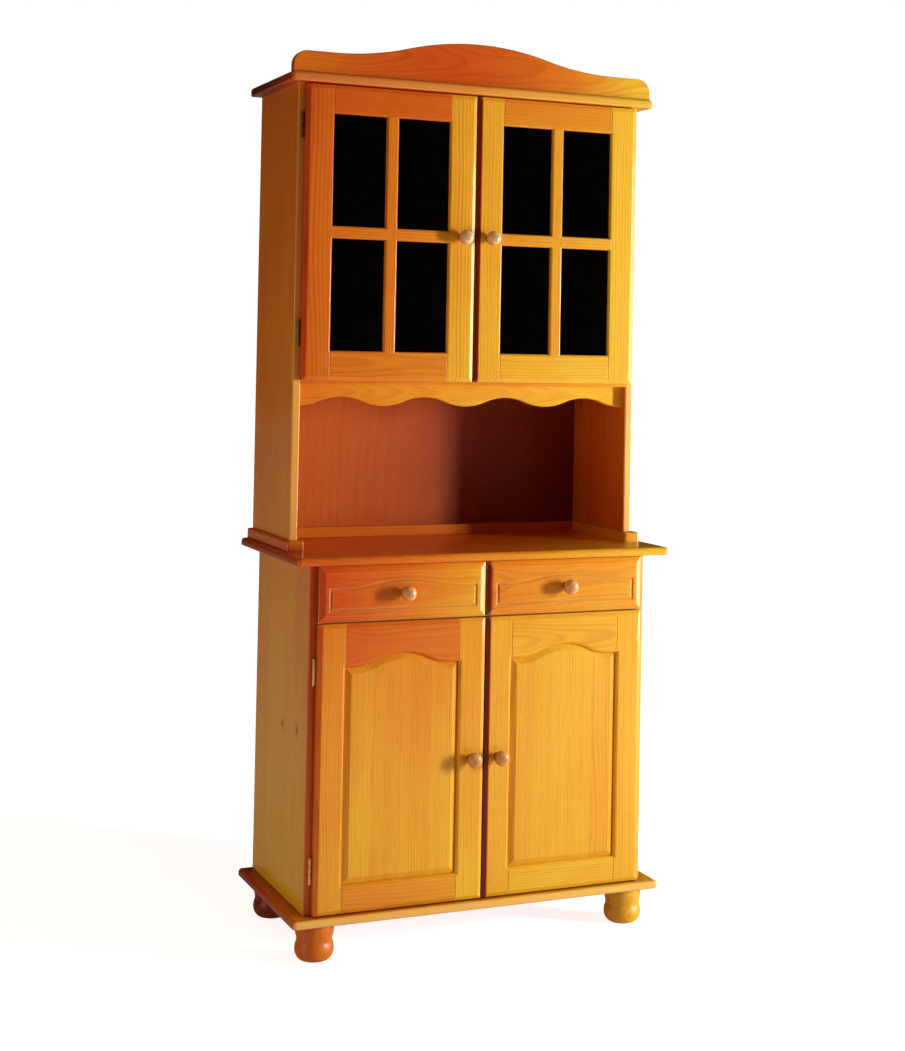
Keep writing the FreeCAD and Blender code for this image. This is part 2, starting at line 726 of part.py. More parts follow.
def make_drawers():
    """Two drawers: a grooved front, two sides and a back, a thin bottom and a knob."""
    x_span = (-lower_door_outer, -front_inner)
    front = bevelled_plate(x_span, (drawer_bottom, drawer_top), lower_face, drawer_front_back,
                           drawer_bevel_width, drawer_bevel_depth)
    line_x = (x_span[0] + groove_margin, x_span[1] - groove_margin)
    line_bottom = drawer_bottom + groove_bottom_margin
    spring = drawer_top - groove_spring_drop

    def track(margin, y):
        """One edge of the decorative groove, grown by a margin."""
        span = (line_x[0] - margin, line_x[1] + margin)
        return arched_wire(span, line_bottom - margin, spring + margin, groove_arch_rise, groove_shoulder, y)

    floor_y = lower_face + groove_depth
    outer_cut = Part.makeLoft([track(0, lower_face), track(-groove_wall, floor_y)], True, True)
    inner_edge = track(-groove_width, lower_face)
    island = Part.makeLoft([inner_edge, track(groove_wall - groove_width, floor_y)], True, True)
    front = front.cut(outer_cut.cut(island))

    box_x = (-lower_inner + drawer_side_gap, -divider_half - drawer_side_gap)
    box_y = (drawer_front_back, drawer_front_back + drawer_box_depth)
    box_low = runner_top + drawer_running_gap
    box_z = (box_low, box_low + drawer_side_height)
    bottom_z = (box_low + drawer_bottom_rise, box_low + drawer_bottom_rise + drawer_bottom_thickness)
    inner_x = (box_x[0] + drawer_side_thickness, box_x[1] - drawer_side_thickness)
    groove_x = (inner_x[0] - drawer_groove_depth, inner_x[1] + drawer_groove_depth)
    bottom_y = (box_y[0] - drawer_groove_depth, box_y[1])
    groove = block((groove_x[0] - seat_gap, groove_x[1] + seat_gap),
                   (bottom_y[0] - seat_gap, bottom_y[1] + overrun),
                   (bottom_z[0] - seat_gap, bottom_z[1] + seat_gap))
    left_side = block((box_x[0], inner_x[0]), box_y, box_z).cut(groove)
    right_side = block((inner_x[1], box_x[1]), box_y, box_z).cut(groove)
    back = block(inner_x, (box_y[1] - drawer_side_thickness, box_y[1]), (bottom_z[1] + seat_gap, box_z[1]))
    bottom = block(groove_x, bottom_y, bottom_z)
    centre = (x_span[0] + x_span[1]) / 2
    export_pair("drawer", "front", front.cut(groove))
    export_pair("drawer", "box", group(left_side, right_side, back, bottom))
    export_pair("drawer", "knob", knob(centre, lower_face, (drawer_bottom + drawer_top) / 2))


def screw_head(centre, direction):
    """A low domed screw head on a leaf."""
    head = Part.makeCylinder(screw_radius, screw_head_height, centre, direction)
    return soften(head, screw_head_height / 2, lambda edge: edge.Curve.TypeId == "Part::GeomCircle"
                  and (edge.CenterOfMass - centre).Length > screw_head_height / 2)


def hinge(door_outer, inner, case_front, door_back, middle_z):
    """One cranked hinge of a left door: the case leaf with its pin, and the door leaf."""
    axis_x = -door_outer - knuckle_radius - knuckle_clearance
    axis_y = case_front - knuckle_radius - knuckle_lift
    low, high = middle_z - hinge_length / 2, middle_z + hinge_length / 2
    third = hinge_length / 3
    z_all = (low, high)

    def barrel(z_from, z_to, radius):
        """A length of round bar on the hinge's axis."""
        return Part.makeCylinder(radius, z_to - z_from, Vector(axis_x, axis_y, z_from))

    ends = ((low, low + third), (high - third, high))
    free = knuckle_radius + knuckle_clearance / 2
    slack = knuckle_clearance / 2
    bore = barrel(low - overrun, high + overrun, pin_radius + pin_clearance)
    case_plate = block((axis_x, -inner + leaf_thickness), (case_front - leaf_thickness, case_front), z_all)
    wrap_y = (case_front - leaf_thickness, case_front + leaf_wrap)
    wrap_plate = block((-inner, -inner + leaf_thickness), wrap_y, z_all)
    case_leaf = joined(case_plate, wrap_plate, *[barrel(a, b, knuckle_radius) for a, b in ends])
    case_leaf = case_leaf.cut(barrel(low + third - slack, high - third + slack, free)).cut(bore)
    door_plate = block((axis_x, -door_outer + leaf_width), (door_back, door_back + leaf_thickness), z_all)
    door_leaf = joined(door_plate, barrel(low + third + slack, high - third - slack, knuckle_radius))
    for a, b in ends:
        door_leaf = door_leaf.cut(barrel(a - overrun if a == low else a - slack,
                                         b + overrun if b == high else b + slack, free))
    door_leaf = door_leaf.cut(bore)
    pin = joined(barrel(low, high, pin_radius), barrel(high, high + pin_head_height, pin_head_radius))
    screws_case, screws_door = [], []
    for z in (low + screw_edge, high - screw_edge):
        wrap_face = Vector(-inner + leaf_thickness, case_front + leaf_wrap / 2, z)
        screws_case.append(screw_head(wrap_face, Vector(1, 0, 0)))
        door_face = Vector(-door_outer + leaf_width - screw_edge, door_back + leaf_thickness, z)
        screws_door.append(screw_head(door_face, Vector(0, 1, 0)))
    return [case_leaf, pin] + screws_case, [door_leaf] + screws_door


def make_fittings():
    """Hinges, magnetic catches and their strike plates."""
    case_parts, catches = [], []
    doors = (("lower_door", lower_door_outer, lower_inner, lower_case_front, lower_door_back,
              lower_door_bottom + lower_hinge_rise, lower_door_top - lower_hinge_drop,
              lower_door_top, cross_rail_bottom),
             ("hutch_door", hutch_door_outer, hutch_inner, hutch_case_front, hutch_door_back,
              hutch_door_bottom + hutch_hinge_rise, hutch_door_top - hutch_hinge_drop,
              hutch_door_top, hutch_top))
    for name, outer, inner, case_front, door_back, low_hinge, high_hinge, door_top, ceiling in doors:
        door_parts = []
        for middle in (low_hinge, high_hinge):
            on_case, on_door = hinge(outer, inner, case_front, door_back, middle)
            case_parts += on_case
            door_parts += on_door
        catch_x = (-front_inner - catch_edge - catch_width, -front_inner - catch_edge)
        strike_z = (ceiling - catch_height, min(ceiling, door_top))
        strike_back = door_back + strike_thickness
        door_parts.append(block(catch_x, (door_back, strike_back), strike_z))
        catches.append(block(catch_x, (strike_back + strike_gap, case_front + catch_depth),
                             (ceiling - catch_height, ceiling)))
        export_pair(name, "fittings", group(*door_parts))
    export("case_hinge_leaves", group(*(case_parts + [mirrored(part) for part in case_parts])))
    export("door_catches", group(*(catches + [mirrored(part) for part in catches])))


def report():
    """Print the overall box and the number of nodes and solids."""
    whole = FreeCAD.BoundBox()
    count = 0
    for _, shape in exported:
        whole.add(shape.optimalBoundingBox())
        count += len(shape.Solids)
    print("box x %.1f..%.1f y %.1f..%.1f z %.1f..%.1f" % (whole.XMin, whole.XMax, whole.YMin, whole.YMax,
                                                         whole.ZMin, whole.ZMax))
    print(len(exported), "nodes,", count, "solids")


os.makedirs("parts", exist_ok=True)
make_feet()
make_lower_case()
make_shelves()
make_hutch()
make_lower_doors()
make_hutch_doors()
make_drawers()
make_fittings()
report()
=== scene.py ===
"""Looks for a two-part dresser of varnished pine.

A cupboard with two drawers and two panelled doors stands on turned feet. On its worktop stands a hutch
with an open niche, two glazed doors, a cornice and a shaped crest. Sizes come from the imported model, whose
boards, panes and catches keep their shape. The feet, knobs, hinges and strike plates get a finer mesh here,
and the poles of the catches and the pins of the back panels are added.
"""

import logging
import math
from dataclasses import dataclass, field
from enum import Enum

import bmesh
import bpy
from mathutils import Matrix, Vector


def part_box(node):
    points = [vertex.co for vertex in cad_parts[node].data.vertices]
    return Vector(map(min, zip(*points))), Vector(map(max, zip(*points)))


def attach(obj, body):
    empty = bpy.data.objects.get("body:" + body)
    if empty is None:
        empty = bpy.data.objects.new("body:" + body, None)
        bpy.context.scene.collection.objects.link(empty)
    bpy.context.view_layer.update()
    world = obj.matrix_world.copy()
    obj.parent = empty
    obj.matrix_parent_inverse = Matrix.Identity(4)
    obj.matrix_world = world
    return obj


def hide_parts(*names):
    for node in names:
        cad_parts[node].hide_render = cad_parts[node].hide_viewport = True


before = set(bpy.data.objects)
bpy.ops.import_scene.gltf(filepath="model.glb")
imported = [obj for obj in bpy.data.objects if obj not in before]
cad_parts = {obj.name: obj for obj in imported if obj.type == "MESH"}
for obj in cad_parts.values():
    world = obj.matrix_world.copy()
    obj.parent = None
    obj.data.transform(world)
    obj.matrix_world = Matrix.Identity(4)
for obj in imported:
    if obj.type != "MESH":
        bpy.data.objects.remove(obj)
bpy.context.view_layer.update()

Socket = bpy.types.NodeSocket
Number = float | Socket
Colour = tuple[float, float, float]
Pair = tuple[float, float]
Triple = tuple[float, float, float]
Material = bpy.types.Material
Mesh = bmesh.types.BMesh
log = logging.getLogger("dresser")

WHITE: Colour = (1.0, 1.0, 1.0)
RIGHT = Vector((1, 0, 0))
BACK = Vector((0, 1, 0))
FORWARD = Vector((0, -1, 0))
UP = Vector((0, 0, 1))
SHARP_EDGE = math.radians(40.0)
CUT_CORNER = 0.0002
LEAST_RADIUS = 0.00002
ON_AXIS = 0.000001


class Wiring:
    """Wires the nodes of one material or of the world."""

    def __init__(self, tree: bpy.types.NodeTree) -> None:
        """Starts on an empty tree.

        Args:
            tree: the node tree to fill.
        """
        self.tree = tree
        tree.nodes.clear()

    def add(self, kind: str, **settings: object) -> bpy.types.Node:
        """Adds a node.

        Args:
            kind: the node's type name.
            settings: attributes to set on it.

        Returns:
            The new node.
        """
        node = self.tree.nodes.new(kind)
        for name, value in settings.items():
            setattr(node, name, value)
        return node

    def feed(self, socket: Socket, value: Number | Colour) -> None:
        """Links a socket to a socket, or sets a plain value on it.

        Args:
            socket: the input to fill.
            value: a socket, a number or a colour.
        """
        if isinstance(value, bpy.types.NodeSocket):
            self.tree.links.new(value, socket)
        elif isinstance(value, tuple) and socket.type == "RGBA":
            socket.default_value = (*value, 1.0)
        else:
            socket.default_value = value

    def maths(self, operation: str, *values: Number) -> Socket:
        """Works out a number.

        Args:
            operation: the Math node's operation.
            values: its one to three inputs.

        Returns:
            The result.
        """
        node = self.add("ShaderNodeMath", operation=operation)
        for socket, value in zip(node.inputs, values):
            self.feed(socket, value)
        return node.outputs[0]

    def total(self, *values: Number) -> Socket:
        """Adds numbers up.

        Args:
            values: two or more numbers.

        Returns:
            Their sum.
        """
        result = values[0]
        for value in values[1:]:
            result = self.maths("ADD", result, value)
        return result

    def length(self, first: Number, second: Number) -> Socket:
        """Measures the long side of a right-angled triangle.

        Args:
            first: one short side.
            second: the other short side.

        Returns:
            The long side.
        """
        squares = [self.maths("MULTIPLY", side, side) for side in (first, second)]
        return self.maths("SQRT", self.total(*squares))

    def vector(self, x: Number, y: Number, z: Number) -> Socket:
        """Joins three numbers to a vector.

        Args:
            x: its first part.
            y: its second part.
            z: its third part.

        Returns:
            The vector.
        """
        node = self.add("ShaderNodeCombineXYZ")
        for socket, value in zip(node.inputs, (x, y, z)):
            self.feed(socket, value)
        return node.outputs[0]

    def scaled(self, place: list[Socket], scale: float | Triple) -> Socket:
        """Joins three numbers to a vector, each multiplied by a factor.

        Args:
            place: the numbers.
            scale: a factor for each, or one for all.

        Returns:
            The vector.
        """
        factors = scale if isinstance(scale, tuple) else (scale,) * 3
        return self.vector(*[self.maths("MULTIPLY", side, factor) for side, factor in zip(place, factors)])

    def parts(self, vector: Socket) -> list[Socket]:
        """Splits a vector or colour into its three numbers.

        Args:
            vector: what to split.

        Returns:
            Its parts.
        """
        node = self.add("ShaderNodeSeparateXYZ")
        self.feed(node.inputs[0], vector)
        return list(node.outputs)

    def noise(self, vector: Socket, detail: float = 2.0, roughness: float = 0.5) -> Socket:
        """Reads soft noise, with features one unit across.

        Args:
            vector: the place, already scaled.
            detail: how many finer layers it has.
            roughness: how strong those are.

        Returns:
            The noise, from 0 to 1.
        """
        node = self.add("ShaderNodeTexNoise")
        self.feed(node.inputs["Vector"], vector)
        node.inputs["Scale"].default_value = 1.0
        node.inputs["Detail"].default_value = detail
        node.inputs["Roughness"].default_value = roughness
        return node.outputs[0]

    def dice(self, number: Number) -> Socket:
        """Throws three dice for a number, always the same for the same one.

        Args:
            number: what they are thrown for.

        Returns:
            A colour of three values from 0 to 1.
        """
        node = self.add("ShaderNodeTexWhiteNoise", noise_dimensions="1D")
        self.feed(node.inputs["W"], number)
        return node.outputs["Color"]

    def remap(self, value: Number, low: Number, high: Number, bottom: float = 0.0,
              top: float = 1.0) -> Socket:
        """Maps a span of numbers smoothly on to another, held at its ends.

        Args:
            value: the number.
            low: where the span starts.
            high: where it ends.
            bottom: what low becomes.
            top: what high becomes.

        Returns:
            The mapped number.
        """
        node = self.add("ShaderNodeMapRange", interpolation_type="SMOOTHSTEP")
        for socket, given in zip(node.inputs, (value, low, high, bottom, top)):
            self.feed(socket, given)
        return node.outputs[0]

    def ramp(self, factor: Number, stops: tuple[tuple[float, Colour], ...]) -> Socket:
        """Reads a colour off a row of stops.

        Args:
            factor: the place on the row, from 0 to 1.
            stops: each stop's place and colour.

        Returns:
            The colour.
        """
        node = self.add("ShaderNodeValToRGB")
        self.feed(node.inputs[0], factor)
        elements = node.color_ramp.elements
        while len(elements) < len(stops):
            elements.new(1.0)
        for element, (place, colour) in zip(elements, stops):
            element.position = place
            element.color = (*colour, 1.0)
        return node.outputs[0]

    def blend(self, factor: Number, first: Socket | Colour, second: Socket | Colour,
              mode: str = "MIX") -> Socket:
        """Blends two colours.

        Args:
            factor: how much of the second.
            first: the colour below.
            second: the colour above.
            mode: the blend mode.

        Returns:
            The blended colour.
        """
        node = self.add("ShaderNodeMix", data_type="RGBA", blend_type=mode)
        self.feed(node.inputs[0], factor)
        self.feed(node.inputs[6], first)
        self.feed(node.inputs[7], second)
        return node.outputs[2]

    def bump(self, height: Socket, distance: float, strength: float, normal: Socket | None = None) -> Socket:
        """Turns a height into a surface normal.

        Args:
            height: the relief, about 0 to 1.
            distance: how many metres a height of 1 is.
            strength: how much of it shows.
            normal: the normal to start from.

        Returns:
            The new normal.
        """
        node = self.add("ShaderNodeBump")
        node.inputs["Strength"].default_value = strength
        node.inputs["Distance"].default_value = distance
        self.feed(node.inputs["Height"], height)
        if normal is not None:
            self.feed(node.inputs["Normal"], normal)
        return node.outputs[0]

    def surface(self, values: dict[str, Number | Colour]) -> None:
        """Adds the main shader and its output.

        Args:
            values: what goes on its sockets, by name.
        """
        shader = self.add("ShaderNodeBsdfPrincipled")
        for name, value in values.items():
            self.feed(shader.inputs[name], value)
        output = self.add("ShaderNodeOutputMaterial")
        self.tree.links.new(shader.outputs[0], output.inputs[0])


def new_material(name: str) -> tuple[Material, Wiring, list[Socket]]:
    """Starts a material.

    Args:
        name: its name.

    Returns:
        The material, its wiring and the place on the dresser, in metres.
    """
    made = bpy.data.materials.new(name)
    made.use_nodes = True
    wires = Wiring(made.node_tree)
    return made, wires, wires.parts(wires.add("ShaderNodeTexCoord").outputs["Object"])


class Lay(Enum):
    """How a board's wood lies: its axes across the face, through the board and along the grain."""

    UPRIGHT_FRONT = (0, 1, 2)
    UPRIGHT_SIDE = (1, 0, 2)
    LEVEL_FRONT = (2, 1, 0)
    LEVEL_TOP = (1, 2, 0)
    DEEP_SIDE = (2, 0, 1)
    DEEP_TOP = (0, 2, 1)


@dataclass(frozen=True)
class Cut:
    """How a board was cut from the log.

    Attributes:
        aside: how far the pith lies beside the middle of a stave, in metres.
        aside_spread: how much that varies from stave to stave.
        depth: how far the pith lies behind the face.
        depth_spread: how much that varies.
        taper: how fast the pith drops away along the board.
        sway: how far the pith wanders, in metres.
        contrast: how dark the late wood is.
    """

    aside: float
    aside_spread: float
    depth: float
    depth_spread: float
    taper: float
    sway: float
    contrast: float


class Figure(Enum):
    """The named figures of the boards."""

    CATHEDRAL = Cut(aside=0.0, aside_spread=0.03, depth=0.004, depth_spread=0.030, taper=0.045, sway=0.022,
                    contrast=0.38)
    STRIPED = Cut(aside=0.090, aside_spread=0.08, depth=0.020, depth_spread=0.050, taper=0.008, sway=0.008,
                  contrast=0.40)
    BOLD = Cut(aside=0.080, aside_spread=0.03, depth=0.020, depth_spread=0.030, taper=0.010, sway=0.012,
               contrast=0.72)
    PEELED = Cut(aside=0.0, aside_spread=0.30, depth=0.010, depth_spread=0.080, taper=0.100, sway=0.030,
                 contrast=0.22)


@dataclass(frozen=True)
class Stain:
    """The colours of one kind of wood.

    Attributes:
        stops: the tones from reddish to golden, and their places.
        late: what the late wood multiplies them by.
        knot: the colour of a knot.
        worn_and_highlit: the pale colour that edges lean to, partly from wear and partly as a painted
            highlight.
    """

    stops: tuple[tuple[float, Colour], ...]
    late: Colour
    knot: Colour
    worn_and_highlit: Colour


class Wood(Enum):
    """The kinds of wood on the dresser."""

    PINE = Stain(((0.0, (0.66, 0.085, 0.008)), (0.5, (0.79, 0.225, 0.011)), (1.0, (0.92, 0.55, 0.030))),
                 late=(0.66, 0.42, 0.30), knot=(0.17, 0.035, 0.008), worn_and_highlit=(0.95, 0.56, 0.14))
    PLAIN = Stain(((0.0, (0.56, 0.30, 0.11)), (0.5, (0.66, 0.39, 0.16)), (1.0, (0.75, 0.49, 0.23))),
                  late=(0.72, 0.58, 0.45), knot=(0.20, 0.08, 0.03), worn_and_highlit=(0.80, 0.60, 0.34))
    # plywood's darkest stop is very dark so that low tones paint deep shadow on a back panel
    PLYWOOD = Stain(((0.0, (0.28, 0.034, 0.003)), (0.5, (0.53, 0.100, 0.008)), (1.0, (0.60, 0.15, 0.012))),
                    late=(0.70, 0.50, 0.40), knot=(0.20, 0.05, 0.01), worn_and_highlit=(0.70, 0.30, 0.08))
    TURNED = Stain(((0.0, (0.76, 0.33, 0.09)), (0.5, (0.90, 0.50, 0.18)), (1.0, (0.99, 0.76, 0.42))),
                   late=(0.78, 0.62, 0.50), knot=(0.25, 0.10, 0.04), worn_and_highlit=(0.90, 0.68, 0.44))


@dataclass(frozen=True)
class Swing:
    """How the pith of a board wanders in one direction.

    Attributes:
        scale: how many swings lie on a metre.
        detail: how many finer layers they have.
        reach: how far they go, as a multiple of the cut's sway.
        stave_step: how far apart two staves read the noise.
        seed_step: how far apart two boards read it.
        slice_step: how far apart they read it on its third axis.
        slice_start: where they start on that axis.
    """

    scale: float
    detail: float
    reach: float
    stave_step: float
    seed_step: float = 1.0
    slice_step: float = 0.0
    slice_start: float = 0.0


@dataclass(frozen=True)
class Rings:
    """How growth rings run, and how one darkens from its early to its late wood.

    Attributes:
        sideways: how the pith swings sideways.
        downwards: how it swings up and down.
        warp_scale: how many of their ripples lie on a metre, each way of the board.
        warp_reach: how deep the ripples are, as a multiple of the cut's sway.
        rise_span: the part of a ring over which it darkens.
        fall_span: the part over which it turns pale again.
        faintest: how dark the faintest ring is, where the darkest is 1.
        seed_step: how far apart two boards draw the strength of a ring.
    """

    sideways: Swing = Swing(scale=1.9, detail=2.0, reach=1.6, stave_step=3.7, slice_step=0.3)
    downwards: Swing = Swing(scale=2.6, detail=1.0, reach=2.2, stave_step=5.1, seed_step=1.7, slice_start=4.0)
    warp_scale: Triple = (14.0, 14.0, 3.0)
    warp_reach: float = 0.45
    rise_span: Pair = (0.25, 0.80)
    fall_span: Pair = (0.86, 1.0)
    faintest: float = 0.35
    seed_step: float = 3.0


@dataclass(frozen=True)
class Knots:
    """Where knots may be, and what one looks like. Spans count in radii of the knot.

    Attributes:
        patch: the width and length of a place that may hold one, in metres.
        seed_steps: how far apart two boards draw these places, across and along.
        scatter: how far a knot may lie from the middle of its place, as a share.
        stretch: how much longer than wide a knot is.
        least: the radius of the smallest one.
        growth: how much larger the largest one is.
        rim_span: where the colour of the knot fades.
        strength: how much of that colour shows.
        halo_span: where the darker wood about it fades.
        halo_strength: how dark that wood is.
        bend: how many rings it pushes the lines aside.
    """

    patch: Pair = (0.10, 0.26)
    seed_steps: Pair = (1.3, 2.1)
    scatter: float = 0.7
    stretch: float = 1.4
    least: float = 0.0022
    growth: float = 0.0050
    rim_span: Pair = (0.65, 1.05)
    strength: float = 0.78
    halo_span: Pair = (0.6, 3.6)
    halo_strength: float = 0.35
    bend: float = 2.6


@dataclass(frozen=True)
class WearAndPaintedLight:
    """Pale edges, from wear and painted highlight; dark grooves, from stain and painted shade; and painted
    contact shade.

    Attributes:
        turn_span: the cosines of an edge's rounding where the pale wear and painted highlight begin, and
            where they are whole.
        patch_span: the blotches between which that paleness grows from patchy to whole.
        patchy: how much of it shows in patchy places.
        strip: how far from the front edge its painted shadow and painted highlight stay whole, and where they
            are gone.
        brim: the same for the painted shade of the left brim.
        groove_reach: how wide a groove that darkens may be.
        groove_span: how open it is where darkening begins, partly gathered stain and partly painted shade,
            and where it is darkest.
        nook_span: the same for painted contact shade in a nook.
        nook_strength: how dark that painted shade is.
        end_span: how far a face looks along the grain where end grain begins, and where it is whole.
        samples: how many rays feel for neighbours.
    """

    turn_span: Pair = (0.995, 0.86)
    patch_span: Pair = (0.3, 0.65)
    patchy: float = 0.45
    strip: Pair = (0.002, 0.005)
    brim: Pair = (0.007, 0.012)
    groove_reach: float = 0.0045
    groove_span: Pair = (0.96, 0.60)
    nook_span: Pair = (0.88, 0.40)
    nook_strength: float = 0.9
    end_span: Pair = (0.80, 0.97)
    samples: int = 5


@dataclass(frozen=True)
class Mark:
    """Small marks that a noise scatters over a board.

    Attributes:
        scale: how many lie on a metre across, through and along the board.
        detail: how many finer layers their noise has.
        span: the values of the noise between which they come out.
        strength: how much of their tint shows.
        tint: what they multiply the colour by.
    """

    scale: Triple
    detail: float
    span: Pair
    strength: float
    tint: Colour


class Relief(Enum):
    """The layers of a wooden face: their depth in metres, and how much each mark stands out of them."""

    WOOD = (0.00022, {"late": -0.35, "fibres": 0.30, "peel": 0.30, "knots": -0.4})
    VARNISH = (0.00012, {"peel": 0.7, "late": -0.25})


@dataclass(frozen=True)
class Grain:
    """What all wood on the dresser has in common. A tint is what a mark multiplies the colour by.

    Attributes:
        rings: the growth rings.
        knots: the knots.
        wear: pale edges from wear and painted highlight, darker grooves from stain and painted shade, painted
            contact shade, and end grain.
        fibres: the fine fibres.
        dashes: the short resin dashes.
        blotch_scale: how many slow changes of tone lie on a metre, each way of the board.
        blotch_spread: how far they change it.
        stave_spread: how far the staves of a board differ in tone.
        stave_step: how far apart two staves draw their chances.
        stave_slack: what widens the staves, so that the far edge is still in the last one.
        least_size: the size in metres that the thinnest piece counts as having.
        halo_tint: the tint about a knot.
        shade_tint: the tint of painted shade, laid on a piece where its tone is under 0.
        shade_tone: the tone from which that tint is whole.
        shade_strength: how much of it shows there.
        groove_tint: the tint of darker grooves and corners, partly gathered stain and partly painted shade,
            and of painted contact shade in nooks.
        end_tint: the tint of end grain.
        peel_scale: how many dimples of the varnish lie on a metre.
        relief_strength: how much of the relief shows.
        roughness: how rough the wood is, and how much rougher in blotches and in late wood.
        shine: how much the wood itself mirrors.
        varnish: how much of the varnish covers it.
        varnish_index: the varnish's refractive index.
        bevel_samples: how many rays round an edge.
    """

    rings: Rings = Rings()
    knots: Knots = Knots()
    wear: WearAndPaintedLight = WearAndPaintedLight()
    fibres: Mark = Mark((760.0, 760.0, 11.0), 1.0, (0.35, 0.75), 0.55, (0.84, 0.76, 0.66))
    dashes: Mark = Mark((430.0, 430.0, 30.0), 0.0, (0.63, 0.74), 0.13, (0.60, 0.42, 0.30))
    blotch_scale: Triple = (9.0, 9.0, 3.2)
    blotch_spread: float = 0.34
    stave_spread: float = 0.16
    stave_step: float = 7.31
    stave_slack: float = 1.0001
    least_size: float = 0.001
    halo_tint: Colour = (0.60, 0.36, 0.24)
    shade_tint: Colour = (0.16, 0.07, 0.04)
    shade_tone: float = -0.8
    shade_strength: float = 0.85
    groove_tint: Colour = (0.34, 0.15, 0.07)
    end_tint: Colour = (0.34, 0.22, 0.14)
    peel_scale: float = 230.0
    relief_strength: float = 0.7
    roughness: Triple = (0.30, 0.14, 0.05)
    shine: float = 0.12
    varnish: float = 0.45
    varnish_index: float = 1.5
    bevel_samples: int = 4


@dataclass(frozen=True)
class Tone:
    """Where a piece lies between reddish, 0, and golden, 1. Under 0 it darkens. The tones partly paint light:
    golder where the main lamp on the right falls strongest, redder and darker in shade.

    Attributes:
        left: the tone at its left end.
        right: the tone at its right end.
        rise: how much golder its top is than its foot, partly painted light and shade.
        back: how much golder its back is than its front; negative values paint shade toward the back.
        front: how much golder its front edge is than the rest; a negative value paints the shadow a door
            casts there.
        brim: how much golder its left brim is than the rest; negative values paint shade on edges turned from
            the lamp.
        middle: how much golder its middle is than its ends.
        edge: how far its front edge leans to the pale colour of wear, as a painted highlight.
    """

    left: float
    right: float
    rise: float = 0.0
    back: float = 0.0
    front: float = 0.0
    brim: float = 0.0
    middle: float = 0.0
    edge: float = 0.0


